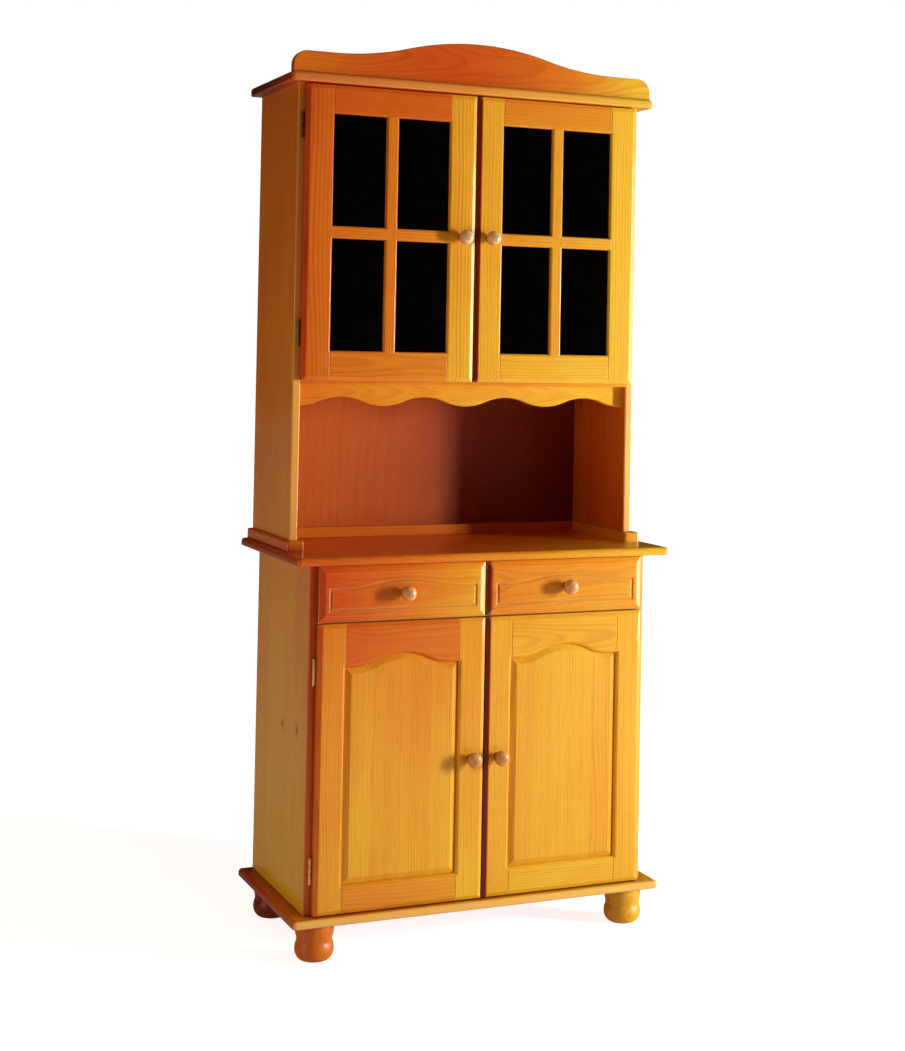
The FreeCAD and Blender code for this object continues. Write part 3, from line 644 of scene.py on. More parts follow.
@dataclass(frozen=True)
class WoodFinish:
    """Wood with rings, fibres, knots and varnish, laid out on one piece.

    Attributes:
        lay: how the grain lies.
        tone: the piece's own colour.
        seed: a number of its own.
        wood: the kind of wood.
        figure: how it was cut.
        staves: how many strips it is glued from, or how many bars the piece has side by side.
        ring: the ring spacing in metres.
        knots: the share of places where a knot may be that have one.
        gloss: the roughness of the varnish.
        cross: half the width of an upright bar in a piece whose other bars are level, or 0.
        edge_wear_and_highlight: how far edges lean to the pale colour of wear, partly real wear and partly a
            painted highlight.
        soft: how wide those pale edges are, in metres.
        groove_stain_and_shade: how dark grooves and inner corners get, partly gathered stain and partly
            painted shade.
        nook: how far painted contact shade reaches in front of neighbouring pieces, in metres.
        ends: how much darker the stain is on end grain.
        grain: what it has in common with all wood on the dresser.
    """

    lay: Lay
    tone: Tone
    seed: float
    wood: Wood = Wood.PINE
    figure: Figure = Figure.STRIPED
    staves: int = 1
    ring: float = 0.0052
    knots: float = 0.0
    gloss: float = 0.12
    cross: float = 0.0
    edge_wear_and_highlight: float = 0.45
    soft: float = 0.0014
    groove_stain_and_shade: float = 0.75
    nook: float = 0.0
    ends: float = 0.55
    grain: Grain = Grain()

    def material(self, name: str, low: Vector, high: Vector) -> Material:
        """Makes the material.

        Args:
            name: the material's name.
            low: the lowest corner of the piece.
            high: its highest corner.

        Returns:
            The material.
        """
        made, wires, place = new_material(name)
        grain, stain = self.grain, self.wood.value
        board = self._axes(wires, place, low, high)
        width = max(high[self.lay.value[0]] - low[self.lay.value[0]], grain.least_size) / self.staves
        stave = wires.maths("FLOOR", wires.maths("DIVIDE", board[0], width * grain.stave_slack))
        chance = wires.parts(wires.dice(wires.maths("MULTIPLY_ADD", stave, grain.stave_step, self.seed)))
        knot, halo, bend = self._knots(wires, board[0], board[2])
        line, late = self._rings(wires, board, stave, width, chance, bend)
        fibres = wires.noise(wires.scaled(board, grain.fibres.scale), grain.fibres.detail)
        dashes = wires.noise(wires.scaled(board, grain.dashes.scale), grain.dashes.detail)
        drifted = [wires.total(board[0], self.seed), *board[1:]]
        blotch = wires.noise(wires.scaled(drifted, grain.blotch_scale))
        tone = self._tone(wires, place, low, high, chance[0], blotch)
        bevel = wires.add("ShaderNodeBevel", samples=grain.bevel_samples)
        bevel.inputs["Radius"].default_value = self.soft
        rounded = bevel.outputs[0]
        shade = wires.remap(tone, 0.0, grain.shade_tone, 0.0, grain.shade_strength)
        fibrous = wires.remap(fibres, *grain.fibres.span, 0.0, grain.fibres.strength)
        dashed = wires.remap(dashes, *grain.dashes.span, 0.0, grain.dashes.strength)
        layers = [
            # painted shade: a tone under 0 multiplies the colour darker
            (shade, grain.shade_tint, "MULTIPLY"),
            (wires.maths("MULTIPLY", line, self.figure.value.contrast), stain.late, "MULTIPLY"),
            (fibrous, grain.fibres.tint, "MULTIPLY"),
            (dashed, grain.dashes.tint, "MULTIPLY"),
            (halo, grain.halo_tint, "MULTIPLY"),
            (knot, stain.knot, "MIX"),
            # pale edges, partly wear and partly painted highlight
            (self._wear_and_highlight(wires, rounded, blotch, place[1], low.y), stain.worn_and_highlit, "MIX"),
            # darker grooves and corners, partly stain and partly painted shade, and painted contact shade
            (self._crevice(wires), grain.groove_tint, "MULTIPLY"),
            (self._end_grain(wires), grain.end_tint, "MULTIPLY"),
        ]
        colour = wires.ramp(tone, stain.stops)
        for factor, tint, mode in layers:
            colour = wires.blend(factor, colour, tint, mode)
        peel = wires.noise(wires.scaled(place, grain.peel_scale), 1.0)
        heights = {"late": late, "fibres": fibres, "peel": peel, "knots": knot}
        plain, blotched, lined = grain.roughness
        rough = wires.total(plain, wires.maths("MULTIPLY", blotch, blotched),
                            wires.maths("MULTIPLY", line, lined))
        wires.surface({"Base Color": colour, "Roughness": rough, "Specular IOR Level": grain.shine,
                       "Normal": self._relief(wires, Relief.WOOD, heights, rounded),
                       "Coat Weight": grain.varnish, "Coat Roughness": self.gloss,
                       "Coat IOR": grain.varnish_index,
                       "Coat Normal": self._relief(wires, Relief.VARNISH, heights, rounded)})
        return made

    def dress(self, node: str) -> None:
        """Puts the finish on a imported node.

        Args:
            node: the node's name.
        """
        low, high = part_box(node)
        made = self.material("wood_" + node, low, high)
        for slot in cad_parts[node].material_slots:
            slot.material = made
        log.info("dressed %s", node)

    def _relief(self, wires: Wiring, layer: Relief, heights: dict[str, Number], normal: Socket) -> Socket:
        """Works out the normal of one layer.

        Args:
            wires: the material's wiring.
            layer: the layer.
            heights: the marks by name, each from 0 to 1.
            normal: the normal to start from.

        Returns:
            The normal.
        """
        depth, shares = layer.value
        risen = [wires.maths("MULTIPLY", heights[mark], share) for mark, share in shares.items()]
        return wires.bump(wires.total(*risen), depth, self.grain.relief_strength, normal)

    def _axes(self, wires: Wiring, place: list[Socket], low: Vector, high: Vector) -> list[Socket]:
        """Works out the place across, through and along the board, from its lowest corner.

        Args:
            wires: the material's wiring.
            place: the place on the dresser.
            low: the lowest corner of the piece.
            high: its highest corner.

        Returns:
            The three distances in metres.
        """
        spans = [wires.maths("SUBTRACT", place[axis], low[axis]) for axis in self.lay.value]
        if not self.cross:
            return spans
        middle = (low[0] + high[0]) / 2
        beside = wires.maths("ABSOLUTE", wires.maths("SUBTRACT", place[0], middle))
        upright = wires.maths("LESS_THAN", beside, self.cross)
        across, through, along = spans
        swap = wires.maths("MULTIPLY", wires.maths("SUBTRACT", along, across), upright)
        return [wires.total(across, swap), through, wires.maths("SUBTRACT", along, swap)]

    def _swing(self, wires: Wiring, swing: Swing, stave: Socket, along: Socket) -> Socket:
        """Reads how far the pith has swung.

        Args:
            wires: the material's wiring.
            swing: how it swings.
            stave: the number of the stave.
            along: the place along the grain.

        Returns:
            The swing, from 0 to 1.
        """
        spot = wires.vector(wires.maths("MULTIPLY_ADD", stave, swing.stave_step, self.seed * swing.seed_step),
                            wires.maths("MULTIPLY", along, swing.scale),
                            self.seed * swing.slice_step + swing.slice_start)
        return wires.noise(spot, swing.detail)

    def _rings(self, wires: Wiring, board: list[Socket], stave: Socket, width: float, chance: list[Socket],
               bend: Number) -> tuple[Socket, Socket]:
        """Draws the growth rings as distances from a wandering pith.

        Args:
            wires: the material's wiring.
            board: the place across, through and along the board.
            stave: the number of the stave.
            width: how wide a stave is.
            chance: three dice of the stave.
            bend: how many rings the knots push the lines aside.

        Returns:
            How dark the late wood is, and the same with all rings alike.
        """
        across, through, along = board
        rings, cut = self.grain.rings, self.figure.value
        middle = wires.maths("MULTIPLY", wires.maths("ADD", stave, 0.5), width)
        sway = self._swing(wires, rings.sideways, stave, along)
        sink = self._swing(wires, rings.downwards, stave, along)
        aside = wires.maths("MULTIPLY_ADD", chance[0], cut.aside_spread, cut.aside - cut.aside_spread / 2)
        swung = wires.maths("MULTIPLY", wires.maths("SUBTRACT", sway, 0.5), cut.sway * rings.sideways.reach)
        beside = wires.total(wires.maths("SUBTRACT", across, middle), aside, swung)
        depth = wires.maths("MULTIPLY_ADD", chance[1], cut.depth_spread, cut.depth)
        below = wires.total(through, depth, wires.maths("MULTIPLY", along, cut.taper),
                            wires.maths("MULTIPLY", sink, cut.sway * rings.downwards.reach))
        warp = wires.noise(wires.scaled(board, rings.warp_scale))
        radius = wires.maths("MULTIPLY_ADD", warp, cut.sway * rings.warp_reach, wires.length(beside, below))
        count = wires.maths("ADD", wires.maths("DIVIDE", radius, self.ring), bend)
        number = wires.maths("FLOOR", count)
        share = wires.maths("SUBTRACT", count, number)
        band = wires.maths("MULTIPLY", wires.remap(share, *rings.rise_span),
                           wires.remap(share, *rings.fall_span, 1.0, 0.0))
        luck = wires.parts(wires.dice(wires.maths("ADD", number, self.seed * rings.seed_step)))[0]
        strong = wires.maths("MULTIPLY_ADD", luck, 1.0 - rings.faintest, rings.faintest)
        return wires.maths("MULTIPLY", band, strong), band

    def _knots(self, wires: Wiring, across: Socket, along: Socket) -> tuple[Number, Number, Number]:
        """Scatters a few knots.

        Args:
            wires: the material's wiring.
            across: the place across the board.
            along: the place along the grain.

        Returns:
            The knots, the darker wood about them, and how many rings they push the lines aside.
        """
        if not self.knots:
            return 0.0, 0.0, 0.0
        shape = self.grain.knots
        wide, long = shape.patch
        wide_step, long_step = shape.seed_steps
        spot = wires.vector(wires.maths("MULTIPLY_ADD", across, 1 / wide, self.seed * wide_step),
                            wires.maths("MULTIPLY_ADD", along, 1 / long, self.seed * long_step), 0.0)
        cells = wires.add("ShaderNodeTexVoronoi", voronoi_dimensions="2D")
        wires.feed(cells.inputs["Vector"], spot)
        cells.inputs["Scale"].default_value = 1.0
        cells.inputs["Randomness"].default_value = shape.scatter
        gap = wires.add("ShaderNodeVectorMath", operation="SUBTRACT")
        wires.feed(gap.inputs[0], cells.outputs["Position"])
        wires.feed(gap.inputs[1], spot)
        sideways, lengthways, _ = wires.parts(gap.outputs[0])
        far = wires.length(wires.maths("MULTIPLY", sideways, wide),
                           wires.maths("MULTIPLY", lengthways, long / shape.stretch))
        chance = wires.parts(cells.outputs["Color"])
        present = wires.maths("LESS_THAN", chance[0], self.knots)
        size = wires.maths("MULTIPLY_ADD", chance[1], shape.growth, shape.least)
        reach = wires.maths("DIVIDE", far, size)
        near = wires.maths("MULTIPLY", wires.remap(reach, *shape.halo_span, 1.0, 0.0), present)
        knot = wires.maths("MULTIPLY", wires.remap(reach, *shape.rim_span, shape.strength, 0.0), present)
        halo = wires.maths("MULTIPLY", near, shape.halo_strength)
        return knot, halo, wires.maths("MULTIPLY", near, shape.bend)

    def _tone(self, wires: Wiring, place: list[Socket], low: Vector, high: Vector, chance: Socket,
              blotch: Socket) -> Socket:
        """Works out the place on the stain's row of colours, which partly paints light and shade.

        Args:
            wires: the material's wiring.
            place: the place on the dresser.
            low: the lowest corner of the piece.
            high: its highest corner.
            chance: a die of the stave.
            blotch: slow noise.

        Returns:
            The tone, from reddish, 0, to golden, 1, or past them.
        """
        tone, grain = self.tone, self.grain
        parts: list[Number] = [tone.left - grain.stave_spread / 2 - grain.blotch_spread / 2]
        for axis, slope in enumerate((tone.right - tone.left, tone.back, tone.rise)):
            if slope:
                share = wires.maths("DIVIDE", wires.maths("SUBTRACT", place[axis], low[axis]),
                                    max(high[axis] - low[axis], grain.least_size))
                parts.append(wires.maths("MULTIPLY", share, slope))
        if tone.middle:
            share = wires.maths("DIVIDE", wires.maths("SUBTRACT", place[0], low[0]), high[0] - low[0])
            swell = wires.maths("MULTIPLY", share, wires.maths("SUBTRACT", 1.0, share))
            parts.append(wires.maths("MULTIPLY", swell, tone.middle * 4))
        if tone.front:
            parts.append(self._strip(wires, place[1], low.y, grain.wear.strip, tone.front))
        if tone.brim:
            parts.append(self._strip(wires, place[0], low.x, grain.wear.brim, tone.brim))
        parts += [wires.maths("MULTIPLY", chance, grain.stave_spread),
                  wires.maths("MULTIPLY", blotch, grain.blotch_spread)]
        return wires.total(*parts)

    @staticmethod
    def _strip(wires: Wiring, place: Socket, edge: float, span: Pair, amount: float) -> Socket:
        """Gives an amount on the strip along an edge, and 0 past it.

        Args:
            wires: the material's wiring.
            place: the place across the strip.
            edge: where the edge lies.
            span: how far from the edge it starts to fade, and where it is gone.
            amount: the amount.

        Returns:
            What is left of the amount.
        """
        near, far = span
        return wires.remap(place, edge + near, edge + far, amount, 0.0)

    def _wear_and_highlight(self, wires: Wiring, rounded: Socket, blotch: Socket, depth: Socket, front: float) -> Socket:
        """Finds the edges and makes them paler, partly as thinner varnish and partly as a painted highlight.

        Args:
            wires: the material's wiring.
            rounded: the normal as it would be on rounded edges.
            blotch: slow noise, which breaks the wear up.
            depth: the place from front to back.
            front: where the piece's front edge lies.

        Returns:
            How much paler an edge gets.
        """
        wear = self.grain.wear
        turn = wires.add("ShaderNodeVectorMath", operation="DOT_PRODUCT")
        wires.feed(turn.inputs[0], rounded)
        wires.feed(turn.inputs[1], wires.add("ShaderNodeNewGeometry").outputs["Normal"])
        edge = wires.remap(turn.outputs["Value"], *wear.turn_span, 0.0, self.edge_wear_and_highlight)
        worn_and_highlit = wires.maths("MULTIPLY", edge, wires.remap(blotch, *wear.patch_span, wear.patchy, 1.0))
        # painted highlight: a pale strip along the front edge
        if self.tone.edge:
            worn_and_highlit = wires.maths("MAXIMUM", worn_and_highlit, self._strip(wires, depth, front, wear.strip, self.tone.edge))
        return worn_and_highlit

    def _crevice(self, wires: Wiring) -> Socket:
        """Darkens grooves and inner corners, partly as gathered stain and partly as painted shade, and paints
        contact shade beside other pieces.

        Args:
            wires: the material's wiring.

        Returns:
            How much darker it gets.
        """
        wear = self.grain.wear
        shade = wires.add("ShaderNodeAmbientOcclusion", samples=wear.samples, only_local=True)
        shade.inputs["Distance"].default_value = wear.groove_reach
        stain_and_shade = wires.remap(shade.outputs["AO"], *wear.groove_span, 0.0, self.groove_stain_and_shade)
        if not self.nook:
            return stain_and_shade
        # painted contact shade: darkening in front of neighbouring pieces, read from their nearness
        dust = wires.add("ShaderNodeAmbientOcclusion", samples=wear.samples)
        dust.inputs["Distance"].default_value = self.nook
        contact_shaded = wires.remap(dust.outputs["AO"], *wear.nook_span, 0.0, wear.nook_strength)
        return wires.maths("MAXIMUM", stain_and_shade, contact_shaded)

    def _end_grain(self, wires: Wiring) -> Socket:
        """Finds the ends of the board, which drink more stain.

        Args:
            wires: the material's wiring.

        Returns:
            How much more.
        """
        facing = wires.parts(wires.add("ShaderNodeTexCoord").outputs["Normal"])[self.lay.value[2]]
        drunk = 0.0 if self.cross else self.ends
        return wires.remap(wires.maths("ABSOLUTE", facing), *self.grain.wear.end_span, 0.0, drunk)


@dataclass(frozen=True)
class BrassFinish:
    """Plated hinge metal, a little dulled.

    Attributes:
        colour: the metal's colour.
        dull: the colour of the tarnish.
        roughness: how rough it is where it is clean.
        cloud_scale: how many clouds of tarnish lie on a metre.
        cloud_span: the values of their noise between which they come out.
        cloud_strength: how much of the tarnish shows.
        cloud_roughness: how much rougher it is.
        brush_scale: how many brushed lines lie on a metre, each way.
        relief: how deep lines and clouds are, in metres.
        relief_strength: how much of that shows.
    """

    colour: Colour = (0.86, 0.57, 0.26)
    dull: Colour = (0.42, 0.27, 0.11)
    roughness: float = 0.42
    cloud_scale: float = 120.0
    cloud_span: Pair = (0.42, 0.70)
    cloud_strength: float = 0.65
    cloud_roughness: float = 0.16
    brush_scale: Triple = (2600.0, 2600.0, 60.0)
    relief: float = 0.00003
    relief_strength: float = 0.6

    def material(self, name: str) -> Material:
        """Makes the material.

        Args:
            name: the material's name.

        Returns:
            The material.
        """
        made, wires, place = new_material(name)
        cloud = wires.noise(wires.scaled(place, self.cloud_scale), 3.0)
        brushed = wires.noise(wires.scaled(place, self.brush_scale), 1.0)
        tarnish = wires.remap(cloud, *self.cloud_span, 0.0, self.cloud_strength)
        rough = wires.total(self.roughness, wires.maths("MULTIPLY", cloud, self.cloud_roughness))
        relief = wires.bump(wires.total(brushed, cloud), self.relief, self.relief_strength)
        wires.surface({"Base Color": wires.blend(tarnish, self.colour, self.dull), "Metallic": 1.0,
                       "Roughness": rough, "Normal": relief})
        return made


@dataclass(frozen=True)
class PlasticFinish:
    """Moulded plastic with a fine spark texture.

    Attributes:
        colour: its colour.
        roughness: how rough it is.
        spark_scale: how many grains of the texture lie on a metre.
        spark_roughness: how much rougher they are.
        cloud_scale: how many paler clouds lie on a metre.
        cloud_span: the values of their noise between which they come out.
        paler: how much paler they are.
        relief: how deep the texture is, in metres.
        relief_strength: how much of that shows.
    """

    colour: Colour = (0.060, 0.028, 0.014)
    roughness: float = 0.42
    spark_scale: float = 1400.0
    spark_roughness: float = 0.12
    cloud_scale: float = 60.0
    cloud_span: Pair = (0.35, 0.7)
    paler: float = 1.6
    relief: float = 0.00005
    relief_strength: float = 0.6

    def material(self, name: str) -> Material:
        """Makes the material.

        Args:
            name: the material's name.

        Returns:
            The material.
        """
        made, wires, place = new_material(name)
        spark = wires.noise(wires.scaled(place, self.spark_scale))
        cloud = wires.noise(wires.scaled(place, self.cloud_scale))
        pale = tuple(min(1.0, part * self.paler) for part in self.colour)
        rough = wires.total(self.roughness, wires.maths("MULTIPLY", spark, self.spark_roughness))
        wires.surface({"Base Color": wires.blend(wires.remap(cloud, *self.cloud_span), self.colour, pale),
                       "Roughness": rough, "Normal": wires.bump(spark, self.relief, self.relief_strength)})
        return made


@dataclass(frozen=True)
class GlassFinish:
    """Window glass tinted nearly black, a painted shade of the dark cupboard behind it, with faint waves and
    a film of dust.

    Attributes:
        tint: the colour of light that has passed through it, nearly black as a painted shade.
        film: the share of the dust film.
        index: its refractive index.
        wave_scale: how many waves lie on a metre, each way.
        wave_depth: how deep they are, in metres.
        wave_strength: how much of that shows.
        dust_scale: how many clouds of dust lie on a metre.
        dust_span: the values of their noise between which they come out.
        dust_roughness: how rough the thickest dust makes it.
    """

    tint: Colour = (0.016, 0.019, 0.016)
    film: float = 0.003
    index: float = 1.36
    wave_scale: Triple = (7.0, 7.0, 2.5)
    wave_depth: float = 0.0008
    wave_strength: float = 0.25
    dust_scale: float = 34.0
    dust_span: Pair = (0.45, 0.8)
    dust_roughness: float = 0.10

    def material(self, name: str) -> Material:
        """Makes the material.

        Args:
            name: the material's name.

        Returns:
            The material.
        """
        made, wires, place = new_material(name)
        waves = wires.noise(wires.scaled(place, self.wave_scale), 1.0)
        dust = wires.noise(wires.scaled(place, self.dust_scale), 4.0)
        wires.surface({"Base Color": self.tint, "IOR": self.index, "Transmission Weight": 1.0 - self.film,
                       "Roughness": wires.remap(dust, *self.dust_span, 0.0, self.dust_roughness),
                       "Normal": wires.bump(waves, self.wave_depth, self.wave_strength)})
        return made


@dataclass
class Studio:
    """The floor, the lamps, the white surroundings and the camera.

    Attributes:
        target_level: what a white front would render as in the open, from all lights together.
        fill: the share of it that comes from all round.
        overhead: how bright the ceiling is.
        bounce: the share of it that a reflector on the floor throws up.
        fill_colour: the colour of those three, as a room full of wood throws light back.
        side_level: what the side lamp alone would make a white left side render as.
        room: how bright the dim front of the room is in reflections.
        glare: how bright the backdrop is in them.
        backdrop_span: how far back a ray heads where the backdrop begins, and where it is whole.
        ceiling_span: how far up it heads where the ceiling begins, and where it is whole.
        floor_radius: the radius of the round floor.
        floor_colour: its colour.
        floor_span: how far out it starts to fade into the backdrop, and where it is gone.
        floor_glow: how bright its own light is up to there.
        speck_scale: how many specks lie on a metre of it.
        lamp: where the main lamp stands.
        lamp_size: its width and height.
        side_lamp: where the soft lamp for the left side stands.
        side_size: its width and height.
        side_colour: its colour.
        reflector: where the reflector lies on the floor.
        reflector_size: its width and depth.
        edge_lamp: where the lamp stands that only shows in the gloss of edges turned to the right.
        edge_size: its width and height.
        edge_power: its power in watts.
        aim: the point that the lamps look at.
        eye: where the camera stands.
        yaw: its turn to the right, in degrees.
        pitch: its tilt upwards.
        roll: its turn about the line of sight.
        focus: its focal length, in pixels of the photograph.
        middle: where the line of sight meets the photograph.
        frame_size: the photograph's width and height in pixels.
        sensor: the width of the camera's sensor in millimetres.
    """

    target_level: float = 0.76
    fill: float = 0.020
    overhead: float = 0.40
    bounce: float = 0.07
    fill_colour: Colour = (1.0, 0.66, 0.46)
    side_level: float = 0.19
    room: float = 0.03
    glare: float = 0.05
    backdrop_span: Pair = (0.93, 0.985)
    ceiling_span: Pair = (0.35, 0.95)
    floor_radius: float = 30.0
    floor_colour: Colour = (0.80, 0.80, 0.79)
    floor_span: Pair = (1.5, 7.0)
    floor_glow: float = 0.84
    speck_scale: float = 90.0
    lamp: Vector = field(default_factory=lambda: Vector((3.40, -2.42, 1.12)))
    lamp_size: Pair = (0.40, 1.30)
    side_lamp: Vector = field(default_factory=lambda: Vector((-2.90, -0.68, 0.78)))
    side_size: Pair = (0.9, 1.4)
    side_colour: Colour = (1.0, 0.86, 0.72)
    reflector: Vector = field(default_factory=lambda: Vector((0.60, -1.45, 0.01)))
    reflector_size: Pair = (2.6, 1.8)
    edge_lamp: Vector = field(default_factory=lambda: Vector((2.90, -0.92, 1.10)))
    edge_size: Pair = (0.7, 1.8)
    edge_power: float = 60.0
    aim: Vector = field(default_factory=lambda: Vector((0.05, -0.05, 0.98)))
    eye: Vector = field(default_factory=lambda: Vector((-1.56997, -3.72049, 1.28703)))
    yaw: float = 23.508
    pitch: float = 1.333
    roll: float = 1.081
    focus: float = 1774.6
    middle: Pair = (480.2, 308.3)
    frame_size: tuple[int, int] = (905, 1051)
    sensor: float = 36.0

    def build(self) -> None:
        """Sets the studio up."""
        bpy.context.scene.view_settings.view_transform = "Standard"
        self._surroundings()
        self._floor()
        self._lamps()
        self._camera()
        log.info("set up the studio")

    def _surroundings(self) -> None:
        """Makes a white backdrop for what the camera sees, and a dimmer room for what lights the dresser."""
        world = bpy.data.worlds.new("studio")
        bpy.context.scene.world = world
        world.use_nodes = True
        wires = Wiring(world.node_tree)
        rays = wires.add("ShaderNodeLightPath").outputs
        towards = wires.parts(wires.add("ShaderNodeTexCoord").outputs["Generated"])
        behind = wires.remap(towards[1], *self.backdrop_span, self.room, self.glare)
        seen = wires.maths("MAXIMUM", rays["Is Camera Ray"], rays["Is Transmission Ray"])
        mirrored = wires.maths("MULTIPLY", rays["Is Glossy Ray"], behind)
        dome = wires.remap(towards[2], *self.ceiling_span, self.fill, self.overhead)
        soft = wires.maths("MULTIPLY", dome, wires.maths("SUBTRACT", 1.0, rays["Is Glossy Ray"]))
        strength = wires.maths("MAXIMUM", seen, wires.maths("MAXIMUM", mirrored, soft))
        background = wires.add("ShaderNodeBackground")
        wires.feed(background.inputs["Strength"], strength)
        wires.feed(background.inputs["Color"], wires.blend(seen, self.fill_colour, WHITE))
        output = wires.add("ShaderNodeOutputWorld")
        wires.tree.links.new(background.outputs[0], output.inputs[0])

    def _floor(self) -> None:
        """Lays a pale floor that keeps the shadow and fades into the backdrop."""
        mesh = bpy.data.meshes.new("floor")
        shape = bmesh.new()
        bmesh.ops.create_circle(shape, cap_ends=True, radius=self.floor_radius, segments=96)
        shape.to_mesh(mesh)
        shape.free()
        floor = bpy.data.objects.new("floor", mesh)
        bpy.context.scene.collection.objects.link(floor)
        made, wires, place = new_material("pale_floor")
        speck = wires.noise(wires.scaled(place, self.speck_scale))
        rays = wires.add("ShaderNodeLightPath").outputs
        mirrored = wires.maths("MULTIPLY", rays["Is Glossy Ray"], self.glare)
        open_view = wires.maths("MAXIMUM", rays["Is Camera Ray"], rays["Is Transmission Ray"])
        seen = wires.maths("MAXIMUM", mirrored, open_view)
        far = wires.remap(wires.length(place[0], place[1]), *self.floor_span, self.floor_glow, 1.0)
        wires.surface({"Base Color": self.floor_colour, "Roughness": wires.remap(speck, 0.3, 0.7, 0.75, 0.85),
                       "Specular IOR Level": 0.1, "Emission Color": WHITE,
                       "Emission Strength": wires.maths("MULTIPLY", seen, far)})
        mesh.materials.append(made)

    def _lamps(self) -> None:
        """Hangs the main lamp, a soft one at the left, a reflector and a lamp for the gloss of the edges."""
        side = (self.side_lamp - self.aim).normalized()
        front = self.target_level - self.fill - self.bounce - self.side_level * abs(side.y / side.x)
        self._lamp("main_lamp", self.lamp, self.lamp_size, self._power(self.lamp, front, 1), self.aim)
        lamp = self._lamp("side_lamp", self.side_lamp, self.side_size,
                          self._power(self.side_lamp, self.side_level, 0), self.aim)
        lamp.data.color = self.side_colour
        rise = (self.aim - self.reflector).normalized().z
        board = self._lamp("reflector", self.reflector, self.reflector_size,
                           self._power(self.reflector, self.bounce, 1) / rise, self.reflector + UP)
        board.data.color = self.fill_colour
        glow = self._lamp("edge_lamp", self.edge_lamp, self.edge_size, self.edge_power, self.aim)
        glow.visible_diffuse = False

    def _power(self, place: Vector, level: float, axis: int) -> float:
        """Works out a lamp's power.

        Args:
            place: where it is.
            level: what it alone would make a white surface at the aim render as.
            axis: the axis that this surface faces along.

        Returns:
            The power in watts, for a lamp that looks at the aim.
        """
        way = place - self.aim
        return level / abs(way.normalized()[axis]) * math.pi ** 2 * way.length_squared

    @staticmethod
    def _lamp(name: str, place: Vector, size: Pair, power: float, towards: Vector) -> bpy.types.Object:
        """Hangs one lamp.

        Args:
            name: its name.
            place: where it hangs.
            size: its width and height.
            power: its power in watts.
            towards: the point that it looks at.

        Returns:
            The lamp.
        """
        data = bpy.data.lights.new(name, "AREA")
        data.shape = "RECTANGLE"
        data.size, data.size_y = size
        data.energy = power
        lamp = bpy.data.objects.new(name, data)
        lamp.location = place
        lamp.rotation_euler = (towards - place).to_track_quat("-Z", "Y").to_euler()
        lamp.visible_camera = False
        bpy.context.scene.collection.objects.link(lamp)
        return lamp

    def _camera(self) -> None:
        """Puts the camera where the photograph was taken from."""
        yaw, pitch, roll = (math.radians(angle) for angle in (self.yaw, self.pitch, self.roll))
        ahead = Vector((math.sin(yaw) * math.cos(pitch), math.cos(yaw) * math.cos(pitch), math.sin(pitch)))
        level = Vector((math.cos(yaw), -math.sin(yaw), 0.0))
        upright = level.cross(ahead)
        right = level * math.cos(roll) + upright * math.sin(roll)
        top = upright * math.cos(roll) - level * math.sin(roll)
        turn = Matrix((right, top, -ahead)).transposed().to_4x4()
        wide, high = self.frame_size
        data = bpy.data.cameras.new("camera")
        data.sensor_width = self.sensor
        data.lens = self.focus / max(wide, high) * data.sensor_width
        data.shift_x = (wide / 2 - self.middle[0]) / max(wide, high)
        data.shift_y = (self.middle[1] - high / 2) / max(wide, high)
        camera = bpy.data.objects.new("camera", data)
        camera.matrix_world = Matrix.Translation(self.eye) @ turn
        bpy.context.scene.collection.objects.link(camera)
        bpy.context.scene.camera = camera


def new_piece(name: str, shape: Mesh, material: Material) -> bpy.types.Object:
    """Turns a mesh under construction into a piece with smooth shading.

    Args:
        name: the piece's name.
        shape: the mesh, which is freed.
        material: its material.

    Returns:
        The piece.
    """
    bmesh.ops.recalc_face_normals(shape, faces=shape.faces)
    mesh = bpy.data.meshes.new(name)
    shape.to_mesh(mesh)
    shape.free()
    mesh.shade_smooth()
    mesh.set_sharp_from_angle(angle=SHARP_EDGE)
    mesh.materials.append(material)
    piece = bpy.data.objects.new(name, mesh)
    bpy.context.scene.collection.objects.link(piece)
    return piece


def arc(centre: Pair, radius: float, start: float, end: float, steps: int) -> list[Pair]:
    """Points on an arc of a turned profile.

    Args:
        centre: its middle, as distance from the axis and height.
        radius: its radius.
        start: the first point's angle in degrees, from straight outwards.
        end: the last point's angle.
        steps: how many steps it takes.

    Returns:
        The points.
    """
    angles = [math.radians(start + (end - start) * step / steps) for step in range(steps + 1)]
    return [(centre[0] + radius * math.cos(angle), centre[1] + radius * math.sin(angle)) for angle in angles]


def dome(radius: float, foot: float, rise: float, steps: int) -> list[Pair]:
    """Points on a low dome, from its rim to the axis.

    Args:
        radius: its radius.
        foot: the height of its rim.
        rise: how high it stands over that.
        steps: how many steps it takes.

    Returns:
        The points.
    """
    line = [(x, foot + z * rise / radius) for x, z in arc((0.0, 0.0), radius, 0.0, 90.0, steps)]
    return line[:-1] + [(0.0, foot + rise)]


def flowing(points: list[Pair], steps: int) -> list[Pair]:
    """A smooth line through the points of a turned profile.

    Args:
        points: the points, in order.
        steps: how many steps lie between two of them.

    Returns:
        The points of the line.
    """
    knots = [points[0]] + points + [points[-1]]
    line = []
    for before, first, second, after in zip(knots, knots[1:], knots[2:], knots[3:]):
        for step in range(steps):
            share = step / steps
            line.append(tuple(
                0.5 * (2 * b + (c - a) * share + (2 * a - 5 * b + 4 * c - d) * share ** 2
                       + (3 * b - a - 3 * c + d) * share ** 3)
                for a, b, c, d in zip(before, first, second, after)))
    return line + [points[-1]]


